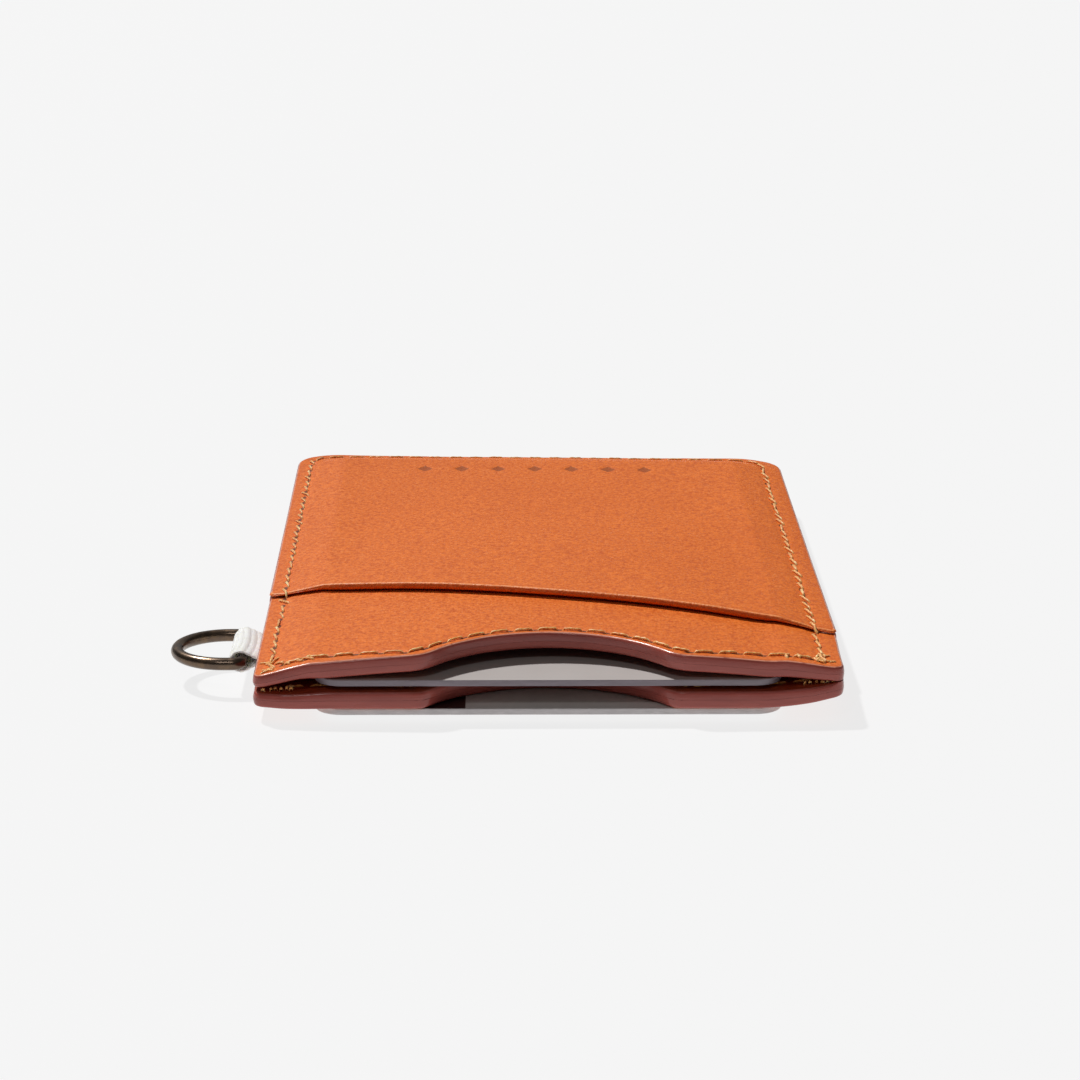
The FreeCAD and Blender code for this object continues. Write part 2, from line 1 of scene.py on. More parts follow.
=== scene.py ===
import bmesh
import bpy
import math
import mathutils
import numpy as np
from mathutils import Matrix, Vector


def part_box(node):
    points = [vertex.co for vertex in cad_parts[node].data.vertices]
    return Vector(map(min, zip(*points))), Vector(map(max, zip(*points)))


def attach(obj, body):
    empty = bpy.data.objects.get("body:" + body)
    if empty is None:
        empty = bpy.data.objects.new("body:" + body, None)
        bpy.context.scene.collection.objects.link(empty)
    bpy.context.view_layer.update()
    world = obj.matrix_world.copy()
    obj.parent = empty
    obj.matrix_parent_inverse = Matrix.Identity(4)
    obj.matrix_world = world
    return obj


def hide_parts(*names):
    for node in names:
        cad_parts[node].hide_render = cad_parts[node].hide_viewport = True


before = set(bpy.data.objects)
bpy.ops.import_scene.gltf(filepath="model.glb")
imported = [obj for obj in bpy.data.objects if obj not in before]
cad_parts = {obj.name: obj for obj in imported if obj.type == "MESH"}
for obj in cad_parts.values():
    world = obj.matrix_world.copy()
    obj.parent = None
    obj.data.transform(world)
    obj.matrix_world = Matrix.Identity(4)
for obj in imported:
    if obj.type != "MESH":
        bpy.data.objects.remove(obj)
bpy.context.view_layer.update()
mm = 0.001  # lengths below are millimetres; each mesh is made in metres
print("frame loaded:", len(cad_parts), "nodes")


def boxOf(node):  # a CAD node's lowest and highest corners, in millimetres
    low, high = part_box(node)
    return np.array(low) / mm, np.array(high) / mm


panelLow, panelHigh = boxOf("front_panel")
liningLow = boxOf("front_lining")[0]
pocketLow = boxOf("front_pocket")[0]
rearPanelLow, rearPanelHigh = boxOf("back_panel")
rearLiningHigh = boxOf("back_lining")[1]
rearPocketHigh = boxOf("back_pocket")[1]
ringLow, ringHigh = boxOf("d_ring")
tabLow, tabHigh = boxOf("key_tab")
cardTop = boxOf("centre_card")[1][2]
halfWidth = panelHigh[0]
mouthY = panelLow[1]
farY = panelHigh[1]

wallet = {
    "panelThick": rearPanelHigh[2] - rearPanelLow[2],
    "pocketThick": 0.85,
    "seamZ": (rearLiningHigh[2] + liningLow[2]) / 2,
    "farRadius": 6.0, "nearRadius": 1.3, "slotCornerRadius": 0.6,
    "rimInset": 0.35,  # the flat faces stop this far inside the outline, where the edge turns
}
notch = {"depth": 7.8, "radius": 17.0, "frontShoulder": 4.0, "backShoulder": 1.7, "backProud": 0.6}
slot = {"high": 31.2, "low": 13.3}  # a pocket's sloping edge: how far from the mouth, at each side


def smooth(value, low, high):  # 0 at low to 1 at high, level at both ends
    part = np.clip((value - low) / (high - low), 0, 1)
    return part * part * (3 - 2 * part)


def arch(distance, start, end):  # 1 up to start, falling along a parabola to 0 at end
    left = np.clip((end - distance) / (end - start), 0, 1)
    return 1 - (1 - left) ** 2


def bell(distance, reach):  # 1 at no distance, dying away over the reach
    return np.exp(-(distance / reach) ** 2)


def at(face, x, y):  # a face is one height, or a function that gives it
    return face(x, y) if callable(face) else face + 0 * x


def outFrom(x):  # 0 on the centre line, 1 at either side
    return np.clip(np.abs(x) / halfWidth, 0, 1)


bow = {"rise": 2.55, "power": 2.4, "fade": 0.48, "fadeStart": -20.0, "fadeEnd": 40.0, "farStart": 40.0,
       "farEnd": 49.0, "blend": 0.125}
press = {"reach": 27.2, "shoulder": 6.8, "far": 42.6, "farShoulder": 5.8, "power": 1.1, "clearance": 0.06,
         "height": 1.3}
tray = {"start": 27.5, "end": 31.8, "farStart": 43.2, "farEnd": 47.9, "drop": 0.85}


def frontRise(x, y):
    # how far the front stands off its seams: the soft maximum of a dome, lower towards the closed end, and
    # of the shape which the card has pressed into it
    dome = bow["rise"] * (1 - outFrom(x) ** bow["power"])
    dome = dome * (1 - bow["fade"] * smooth(y, bow["fadeStart"], bow["fadeEnd"]))
    dome = dome * arch(y, bow["farStart"], bow["farEnd"])
    beyond = np.clip((np.abs(x) - press["reach"]) / press["shoulder"], 0, 1)
    behind = np.clip((y - press["far"]) / press["farShoulder"], 0, 1)
    pressed = (1 - beyond ** press["power"]) * (1 - behind ** press["power"])
    pressed = pressed * (cardTop + press["clearance"] - liningLow[2])
    higher = (dome + pressed + np.sqrt((dome - pressed) ** 2 + 4 * bow["blend"] ** 2)) / 2
    return higher - bow["blend"] * (1 - pressed / press["height"])


def traySink(x, y):  # the back pocket's hollow round its card: an arch across and along
    across = arch(np.abs(x), tray["start"], tray["end"])
    return tray["drop"] * (across * arch(y, tray["farStart"], tray["farEnd"]))


def ripple(x, y, size):  # slow unevenness: four sines of unlike lengths and directions
    waves = (np.sin(0.21 * x + 0.13 * y + 1.1) + np.sin(0.17 * y - 0.09 * x + 2.3)
             + 0.6 * np.sin(0.47 * x - 0.31 * y + 0.4) + 0.4 * np.sin(0.83 * x + 0.71 * y))
    return size * waves / 3


wear = {"cornerReach": 9.0, "cornerMost": 1.1, "farTilt": 0.65, "tiltPower": 1.5, "tiltFade": 32.0,
        "rightPinch": 0.16, "leftPinch": 0.12, "pinchReach": 4.2, "pinchFade": 22.0, "pinchLeast": 0.35,
        "rightSpread": 0.34, "spreadFrom": 22.0, "spreadStart": 2.0, "spreadEnd": 16.0}
cornerLifts = [("mouth", 1, 0.9, 1.3, 26.0), ("mouth", -1, -0.2, 1.0, 18.0), ("far", -1, 0.2, 1.4, 30.0)]


def settle(points):
    # wear: a bell lifts each corner and fades along its edges, the closed end leans to one side, the stack is
    # thinner along its sides, and the right side has spread a little
    x, y, z = points[..., 0], points[..., 1], points[..., 2]
    fromMouth = np.clip(y - mouthY, 0, None)
    fromFar = np.clip(farY - y, 0, None)
    inner = halfWidth - wear["cornerReach"]
    lift = 0 * x
    for end, side, height, power, fade in cornerLifts:
        out = np.clip((side * x - inner) / wear["cornerReach"], 0, wear["cornerMost"])
        lift += height * out ** power * bell(fromFar if end == "far" else fromMouth, fade)
    fromRight = np.clip((halfWidth - x) / (2 * halfWidth), 0, 1)
    tilt = wear["farTilt"] * fromRight ** wear["tiltPower"]
    lift += tilt * bell(fromFar, wear["tiltFade"]) * smooth(z, rearPanelLow[2], wallet["seamZ"])
    inward = np.clip(halfWidth - np.abs(x), 0, None)
    thinner = np.where(x > 0, wear["rightPinch"], wear["leftPinch"]) * bell(inward, wear["pinchReach"])
    least = wear["pinchLeast"]
    thinner = thinner * (least + (1 - least) * bell(fromMouth, wear["pinchFade"]))
    along = smooth(y, mouthY + wear["spreadStart"], mouthY + wear["spreadEnd"])
    settled = points.copy()
    settled[..., 0] += wear["rightSpread"] * smooth(x, wear["spreadFrom"], halfWidth) * along
    settled[..., 2] = wallet["seamZ"] + (z - wallet["seamZ"]) * (1 - thinner) + lift
    return settled


def cornerCut(x, inset, radius, width=halfWidth):
    # how far a rounded corner pulls an edge in at x: the drop of a circle past the corner's centre
    bend = radius - inset
    past = np.clip(np.abs(x) - (width - radius), 0, bend)
    return bend - np.sqrt(np.clip(bend ** 2 - past ** 2, 0, None))


def mouthLine(x, inset, shoulder):
    # the notch's arc, then a shoulder arc that turns into the straight mouth, all moved inwards by inset
    side = np.abs(x)
    centreY = mouthY + notch["depth"] - notch["radius"]
    archRadius = notch["radius"] + inset
    bend = shoulder - inset
    shoulderY = mouthY + shoulder
    shoulderX = math.sqrt((archRadius + bend) ** 2 - (shoulderY - centreY) ** 2)
    touchX = shoulderX * archRadius / (archRadius + bend)
    archY = centreY + np.sqrt(np.clip(archRadius ** 2 - side ** 2, 0, None))
    bendY = shoulderY - np.sqrt(np.clip(bend ** 2 - (side - shoulderX) ** 2, 0, None))
    y = np.where(side < touchX, archY, np.where(side < shoulderX, bendY, mouthY + inset))
    return y + cornerCut(x, inset, wallet["nearRadius"])


def frontMouthLine(x, inset):
    return mouthLine(x, inset, notch["frontShoulder"])


def rearMouthLine(x, inset):  # the back stack reaches a little further out than the front
    proud = notch["backProud"] * smooth(halfWidth - np.abs(x), 0, 4)
    return mouthLine(x, inset, notch["backShoulder"]) - proud


def slotLine(x, inset, side):  # an outer pocket's sloping edge; side 1 is the front, -1 the back
    middle = (slot["high"] + slot["low"]) / 2
    slope = side * (slot["low"] - slot["high"]) / (2 * halfWidth)
    return mouthY + middle + slope * x + inset + cornerCut(x, inset, wallet["slotCornerRadius"])


def farLine(x, inset):
    return farY - inset - cornerCut(x, inset, wallet["farRadius"])


sewing = {"sideMargin": 2.3, "notchMargin": 1.95, "mouthMargin": 3.0, "pitch": 2.85, "seamShift": 0.4,
          "seamStart": 1.6, "mouthEnd": 3.2, "easeStart": 14.0, "easeEnd": 23.0, "fine": 0.05,
          "groove": 0.11, "grooveWidth": 0.7, "dent": 0.10, "dentWidth": 0.45}


def walk(points, spacing):  # evenly spaced stations along a line of points
    steps = np.hypot(*np.diff(points, axis=0).T)
    length = np.concatenate([[0], np.cumsum(steps)])
    count = max(2, int(round(length[-1] / spacing)) + 1)
    at = np.linspace(0, length[-1], count)
    return np.stack([np.interp(at, length, points[:, k]) for k in (0, 1)], axis=1)


def headings(line):  # unit directions along a line of points
    step = np.gradient(line, axis=0)
    return step / np.hypot(*step.T)[:, None]


def loopHeadings(line):  # the same along a closed loop
    step = np.roll(line, -1, axis=0) - np.roll(line, 1, axis=0)
    return step / np.hypot(*step.T)[:, None]


def leftOf(heading):
    return np.stack([-heading[:, 1], heading[:, 0]], axis=1)


def roundTheEnd(inset, startLeft, startRight, bendPoints):
    # up the left side, a quarter circle at each closed corner, down the right side, inset from the outline
    edge = halfWidth - inset
    bend = wallet["farRadius"] - inset
    turn = np.linspace(0, math.pi / 2, bendPoints)
    bendY = farY - inset - bend + bend * np.sin(turn)
    leftBend = np.stack([-edge + bend - bend * np.cos(turn), bendY], axis=1)
    return np.concatenate([[[-edge, startLeft]], leftBend, leftBend[::-1] * [-1, 1], [[edge, startRight]]])


def seamLine():  # the main seam, which was sewn a little to the left
    start = mouthY + sewing["seamStart"]
    line = walk(roundTheEnd(sewing["sideMargin"], start, start, 30), sewing["fine"])
    along = smooth(line[:, 1], mouthY + wear["spreadStart"], mouthY + wear["spreadEnd"])
    line[:, 0] -= sewing["seamShift"] * np.where(line[:, 0] < 0, 1, along)
    return line


def mouthSeamLine(shoulder):
    # along the mouth and round the notch, closer to the edge there. The margins are longer than the near
    # corner's radius, which brings the row back by 0.65: from the front's edge it lies 1.3 in at the notch and
    # 2.35 elsewhere, and from the back's edge 0.6 more
    end = halfWidth - sewing["mouthEnd"]
    x = np.linspace(-end, end, 1600)
    eased = smooth(np.abs(x), sewing["easeStart"], sewing["easeEnd"])
    further = (sewing["mouthMargin"] - sewing["notchMargin"]) * eased
    y = mouthLine(x, sewing["notchMargin"], shoulder) + further
    return walk(np.stack([x, y], axis=1), sewing["fine"])


seamDense = seamLine()
frontMouthDense = mouthSeamLine(notch["frontShoulder"])
backMouthDense = mouthSeamLine(notch["backShoulder"])
seamHoles, frontMouthHoles, backMouthHoles = (walk(line, sewing["pitch"])
                                              for line in (seamDense, frontMouthDense, backMouthDense))


def nearest(points, targets, batch=64):  # distance from each point to the nearest target
    best = np.full(len(points), 1e9)
    for start in range(0, len(targets), batch):
        apart = points[:, None] - targets[start:start + batch]
        best = np.minimum(best, np.hypot(apart[..., 0], apart[..., 1]).min(axis=1))
    return best


def beside(points, line, gap, reach=4.0, batch=4000):
    # how far along a row each point lies, in stitches, and how far off it, from its nearest station
    along = np.zeros(len(points))
    off = np.zeros(len(points))
    heading = headings(line)
    stitchCount = max(1, round((len(line) - 1) * gap / sewing["pitch"]))
    for start in range(0, len(points), batch):
        part = points[start:start + batch]
        apart = part[:, None] - line[None]
        distance = np.hypot(apart[..., 0], apart[..., 1])
        station = distance.argmin(axis=1)
        rows = np.arange(len(part))
        ahead = (apart[rows, station] * heading[station]).sum(axis=1) / gap
        along[start:start + batch] = (station + ahead) * stitchCount / (len(line) - 1)
        off[start:start + batch] = np.minimum(distance[rows, station], reach)
    return along, off


def pulledIn(x, y, lines):
    # thread tension: a shallow groove along each row, with a dent at every needle hole; both are bells
    points = np.stack([x.ravel(), y.ravel()], axis=-1)
    sunk = np.zeros(len(points))
    values = {}
    for key, line in lines.items():
        stations = line[::8]
        gap = math.hypot(*(stations[1] - stations[0]))
        along, off = beside(points, stations, gap)
        toHole = np.hypot((along - np.round(along)) * sewing["pitch"], off)
        sunk += sewing["groove"] * bell(off, sewing["grooveWidth"])
        sunk += sewing["dent"] * bell(toHole, sewing["dentWidth"])
        values[key + "Along"], values[key + "Off"] = along, off
    return sunk.reshape(x.shape), values


ornament = {"count": 7, "apart": 5.1, "y": 37.4, "x": -0.6, "halfWide": 1.15, "halfLong": 1.7, "depth": 0.13,
            "lip": 1.15, "floor": 0.75}


def pressedMarks(x, y):
    # a row of small diamonds near the closed end: how far across plus how far along, from each one's centre
    place = (x - ornament["x"]) / ornament["apart"]
    mark = np.clip(np.round(place), -(ornament["count"] // 2), ornament["count"] // 2)
    across = np.abs(place - mark) * ornament["apart"] / ornament["halfWide"]
    along = np.abs(y - ornament["y"]) / ornament["halfLong"]
    return smooth(-(across + along), -ornament["lip"], -ornament["floor"])


layers = {"sink": 0.01, "pocketGap": 0.04, "rearGap": 0.02, "panelRipple": 0.03, "pocketRipple": 0.045}
gape = {"most": 0.22, "reach": 11.0, "power": 3}
ridge = {"height": 0.07, "fromEnd": 4.3, "width": 0.45, "start": 3.0, "end": 7.0}
slotEnds = {"thinner": 0.36, "start": 24.5, "end": 31.6, "reach": 12.0}
slit = {"up": 0.34, "down": 0.13, "start": 25.5, "end": 29.5, "deep": 9.0, "open": 1.8}
fill = {"height": 0.11, "start": 1.5, "end": 0.9}
rearPanelTop = rearPanelHigh[2] + layers["sink"]  # also the rear lining's lower face
rearPanelBottom = rearPanelLow[2]


def cornerSlit(x, y):  # 1 at the near left corner, where the two halves have parted
    return smooth(-x, slit["start"], slit["end"]) * smooth(-(y - mouthY), -slit["deep"], -slit["open"])


def frontPanelTop(x, y):  # the faces of the layers: their height at any x, y, before they settle
    return panelLow[2] + wallet["panelThick"] + frontRise(x, y) + ripple(x, y, layers["panelRipple"])


def frontPanelBottom(x, y):  # also the lining's upper face, which it is glued to
    return panelLow[2] - layers["sink"] + frontRise(x, y)


def frontLiningBottom(x, y):
    return liningLow[2] + frontRise(x, y) + slit["up"] * cornerSlit(x, y)


def frontPocketBottom(x, y):  # lies on the panel, and gapes a little at its open edge
    open_ = bell(y - slotLine(x, 0, 1), gape["reach"]) * (1 - outFrom(x) ** gape["power"])
    return pocketLow[2] + layers["pocketGap"] + frontRise(x, y) + gape["most"] * open_


def frontPocketTop(x, y):  # a soft ridge before the end seam; thinner where the slot meets a seam
    raised = ridge["height"] * bell(farY - ridge["fromEnd"] - y, ridge["width"])
    raised = raised * smooth(halfWidth - np.abs(x), ridge["start"], ridge["end"])
    ends = smooth(np.abs(x), slotEnds["start"], slotEnds["end"])
    ends = ends * bell(y - slotLine(x, 0, 1), slotEnds["reach"])
    thick = wallet["pocketThick"] - slotEnds["thinner"] * ends
    uneven = ripple(x, y, layers["pocketRipple"])
    return frontPocketBottom(x, y) + thick + uneven + raised - layers["pocketGap"]


def rearLiningTop(x, y):  # filled up to the front with edge paint at the right-hand corner
    filled = fill["height"] * smooth(x, halfWidth - fill["start"], halfWidth - fill["end"])
    return rearLiningHigh[2] + filled - slit["down"] * cornerSlit(x, y)


def rearPocketTop(x, y):
    return rearPocketHigh[2] - layers["rearGap"] - traySink(x, y)


def rearPocketBottom(x, y):  # never below the table
    return np.maximum(rearPocketTop(x, y) - wallet["pocketThick"], 0)


def makeMesh(name, points, faces, values=None, crease=40):
    # points in millimetres; values are named numbers kept on the vertices for the materials to read
    mesh = bpy.data.meshes.new(name)
    mesh.from_pydata((points * mm).tolist(), [], faces)
    for key, numbers in (values or {}).items():
        attribute = mesh.attributes.new(key, "FLOAT", "POINT")
        attribute.data.foreach_set("value", np.asarray(numbers, np.float32))
    mesh.polygons.foreach_set("use_smooth", np.ones(len(mesh.polygons), bool))
    mesh.set_sharp_from_angle(angle=math.radians(crease))
    mesh.update()
    piece = bpy.data.objects.new(name, mesh)
    bpy.context.scene.collection.objects.link(piece)
    return piece


def finishPiece(piece, body, slotName, material, *replaced):
    piece.data.materials.append(material)
    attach(piece, body)
    if replaced:
        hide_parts(*replaced)
    return piece


def fixNormals(piece):  # turns the faces of a closed mesh outwards
    work = bmesh.new()
    work.from_mesh(piece.data)
    bmesh.ops.recalc_face_normals(work, faces=work.faces)
    work.to_mesh(piece.data)
    work.free()


def gridFaces(rows, columns, start=0, flip=False):
    i, j = np.meshgrid(np.arange(rows - 1), np.arange(columns - 1), indexing="ij")
    a = start + (i * columns + j).ravel()
    quads = np.stack([a, a + 1, a + 1 + columns, a + columns], axis=1)
    return quads[:, ::-1] if flip else quads


def band(a, b):  # quads between two rows of vertices that each close on themselves
    quads = np.stack([a, b, np.roll(b, -1, axis=-1), np.roll(a, -1, axis=-1)], axis=-1)
    return quads.reshape(-1, 4)


def rimLoop(rows, columns):  # a grid's outer vertices, anticlockwise seen from above
    index = np.arange(rows * columns).reshape(rows, columns)
    return np.concatenate([index[0, :-1], index[:-1, -1], index[-1, :0:-1], index[:0:-1, 0]])


def spread(low, high, offsets, step):  # stations that are close together at both ends
    count = max(2, int(round((high - low - 2 * offsets[-1]) / step)))
    inner = np.linspace(low + offsets[-1], high - offsets[-1], count)
    return np.concatenate([low + offsets[:-1], inner, (high - offsets[:-1])[::-1]])


rimOffsets = np.array([0, 0.12, 0.3, 0.55, 0.85, 1.15, 1.4, 1.62, 1.84, 2.06, 2.28, 2.5, 2.75, 3.1, 3.6, 4.2])


def plate(name, ends, faces, edges, width=halfWidth, step=0.5, offsets=rimOffsets, lines=None,
          paintWhere=None, marks=None, joined=None, inset=wallet["rimInset"], bulge=0.06, shape=settle):
    # a sheet on a grid: columns run across, rows from near to far, and a wall joins its two faces. The wall
    # is a quarter ellipse at each rim, as tall as edges say for the upper and for the lower one, with a half
    # sine of swelling between; two layers glued face to face swell as one
    x = spread(-width + inset, width - inset, offsets, step)
    near, far = (end(x, inset) for end in ends)
    longest = (far - near).max()
    share = spread(0, 1, offsets / longest, step / longest)
    gridX = np.broadcast_to(x, (len(share), len(x))).copy()
    gridY = near + (far - near) * share[:, None]
    sunk, rowValues = pulledIn(gridX, gridY, lines or {})
    if marks:
        marked = marks(gridX, gridY)
        rowValues["marked"] = marked.ravel()
        sunk = sunk + ornament["depth"] * marked
    top = np.stack([gridX, gridY, at(faces[0], gridX, gridY) - sunk], axis=-1).reshape(-1, 3)
    bottom = np.stack([gridX, gridY, at(faces[1], gridX, gridY)], axis=-1).reshape(-1, 3)

    loop = rimLoop(*gridX.shape)
    border = top[loop]
    outward = -leftOf(loopHeadings(border[:, :2]))
    upper, lower = (at(edge, border[:, 0], border[:, 1]) for edge in edges)
    swell = bulge / inset
    turn = np.linspace(0, math.pi / 2, 6)[1:]
    topZ, bottomZ = border[:, 2], bottom[loop, 2]
    wall = [(math.sin(angle) * (1 + swell * (joined == "above")), topZ - upper * (1 - math.cos(angle)))
            for angle in turn]
    flatTop, flatBottom = topZ - upper, bottomZ + lower
    for part in (0.25, 0.5, 0.75):
        swelling = {"below": math.sin(math.pi / 2 * part), "above": math.cos(math.pi / 2 * part),
                    None: math.sin(math.pi * part)}[joined]
        wall.append((1 + swell * swelling, flatTop + (flatBottom - flatTop) * part))
    wall += [(math.sin(angle) * (1 + swell * (joined == "below")), bottomZ + lower * (1 - math.cos(angle)))
             for angle in turn[::-1]]
    bands = [np.column_stack([border[:, :2] + outward * inset * reach, height]) for reach, height in wall]
    points = np.concatenate([top, *bands, bottom])

    count = len(loop)
    under = len(top) + len(bands) * count
    starts = [loop, *(len(top) + k * count + np.arange(count) for k in range(len(bands))), under + loop]
    wallFaces = [band(a, b) for a, b in zip(starts, starts[1:])]
    underFaces = gridFaces(*gridX.shape, under, flip=True)
    polygons = np.concatenate([gridFaces(*gridX.shape), *wallFaces, underFaces])
    rim = nearest(top[:, :2], border[:, :2] + outward * inset)
    wallDepth = [inset - inset * min(reach, 1) - 0.3 * k / len(wall) for k, (reach, _) in enumerate(wall)]
    values = {"rim": np.concatenate([rim, np.repeat(wallDepth, count), rim])}
    for key, numbers in rowValues.items():
        values[key] = np.concatenate([numbers, numbers[np.tile(loop, len(bands))], np.full(len(bottom), 9.0)])
    values["painted"] = paintWhere(points[:, 0], points[:, 1]) if paintWhere else np.ones(len(points))
    return makeMesh(name, shape(points) if shape else points, polygons.tolist(), values)


def sumOf(operation, swapped=False):  # a method that joins a signal to another one, or to a number
    def method(signal, other):
        return signal.combine(operation, *((other, signal) if swapped else (signal, other)))
    return method


class Signal:  # a socket that can be used in sums
    __add__ = __radd__ = sumOf("ADD")
    __mul__ = __rmul__ = sumOf("MULTIPLY")
    __sub__ = sumOf("SUBTRACT")
    __rsub__ = sumOf("SUBTRACT", swapped=True)
    __pow__ = sumOf("POWER")
    atLeast = sumOf("MAXIMUM")

    def __init__(self, tree, socket):
        self.tree = tree
        self.socket = socket

    def combine(self, operation, *values):
        node = self.tree.nodes.new("ShaderNodeMath")
        node.operation = operation
        for place, value in zip(node.inputs, values):
            plug(self.tree, place, value)
        return Signal(self.tree, node.outputs[0])

    def __abs__(self):
        return self.combine("ABSOLUTE", self)

    def toWhole(self):  # how far it is from the nearest whole number
        return abs(self - self.combine("ROUND", self))


def plug(tree, place, value):
    if isinstance(value, Signal):
        tree.links.new(value.socket, place)
    elif hasattr(value, "__len__") and len(value) == 3 and place.type == "RGBA":
        place.default_value = (*value, 1)
    else:
        place.default_value = value


def colour(red, green, blue):  # a screen colour, 0 to 255, as light
    share = np.array([red, green, blue]) / 255
    light = np.where(share <= 0.04045, share / 12.92, ((share + 0.055) / 1.055) ** 2.4)
    return tuple(float(v) for v in light)


class Finish:  # one material, and the node maker that every pattern uses
    def __init__(self, name, **constants):
        self.material = bpy.data.materials.new(name)
        self.material.use_nodes = True
        self.tree = self.material.node_tree
        self.surface = next(n for n in self.tree.nodes if n.type == "BSDF_PRINCIPLED")
        for key, value in constants.items():
            self.set(key, value)

    def set(self, key, value):
        plug(self.tree, self.surface.inputs[key], value)

    def add(self, kind, settings, values, output=0):
        node = self.tree.nodes.new("ShaderNode" + kind)
        for key, value in settings.items():
            setattr(node, key, value)
        for key, value in values.items():
            plug(self.tree, node.inputs[key], value)
        return Signal(self.tree, node.outputs[output])

    def place(self, stretch=(1, 1, 1)):  # Object coordinates in metres, stretched
        where = self.add("TexCoord", {}, {}, "Object")
        return self.add("Mapping", {}, {"Vector": where, "Scale": stretch})

    def millimetres(self, axis):
        return self.add("SeparateXYZ", {}, {"Vector": self.place((1 / mm,) * 3)}, axis)

    def noise(self, scale, detail=4.0, rough=0.55, stretch=(1, 1, 1)):
        return self.add("TexNoise", {}, {"Vector": self.place(stretch), "Scale": scale, "Detail": detail,
                                         "Roughness": rough}, "Fac")

    def cells(self, scale):
        return self.add("TexVoronoi", {}, {"Vector": self.place(), "Scale": scale}, "Distance")

    def value(self, name):  # a number kept on the piece's vertices
        return self.add("Attribute", {"attribute_name": name}, {}, "Fac")

    def between(self, signal, low, high, start=0.0, end=1.0):
        return self.add("MapRange", {"interpolation_type": "SMOOTHSTEP"},
                        {"Value": signal, "From Min": low, "From Max": high, "To Min": start, "To Max": end})

    def mix(self, mask, first, second):
        return self.add("Mix", {"data_type": "RGBA"}, {0: mask, 6: first, 7: second}, 2)

    def bump(self, height, depth):
        return self.add("Bump", {}, {"Height": height, "Distance": depth, "Strength": 1.0})


leatherLook = {
    "tan": colour(232, 118, 34), "deep": colour(200, 88, 22), "light": colour(252, 164, 98),
    # paint colours of the cut edges; the palest one, with the lip strength below, makes a rim line that is
    # partly wear and partly painted highlight
    "paint": colour(166, 82, 72), "paintDark": colour(148, 70, 62), "paintRimHighlightWear": colour(236, 164, 136),
    # hole: the dark colour of the painted shade in needle holes and in the pressed outlines
    "hole": colour(80, 28, 10), "grainSize": 0.00034, "lip": 1.0, "grainDepth": 0.00007,
}
# the lining is the same tan leather in darker colours, which is painted shade for the gap between the halves
# where it shows; its rim line is mostly turned off
liningLookShaded = {**leatherLook, "tan": colour(168, 66, 34), "deep": colour(138, 48, 26),
              "light": colour(190, 88, 50), "lip": 0.1}


def needleHoles(skin, row):  # dark ragged ovals, one between every two stitches of a row: painted shade in the needle holes
    along = skin.value(row + "Along").toWhole() * sewing["pitch"]
    off = skin.value(row + "Off")
    ragged = skin.noise(2600, 3.0) * 0.25
    away = ((along * 0.6) ** 2.0 + (off * 1.5) ** 2.0) ** 0.5 + ragged
    return skin.between(away, 0.7, 0.45)


def pressedRow(skin):  # the diamonds' outlines, darker: partly the pressed leather's own tone, partly painted shade in the crease; the mesh has the soft hollow round each
    across = ((skin.millimetres("X") - ornament["x"]) * (1 / ornament["apart"])).toWhole()
    along = abs(skin.millimetres("Y") - ornament["y"])
    size = across * (ornament["apart"] / ornament["halfWide"]) + along * (1 / ornament["halfLong"])
    return skin.between(size, 1.0, 0.86) * skin.between(skin.value("marked"), 0.02, 0.1)


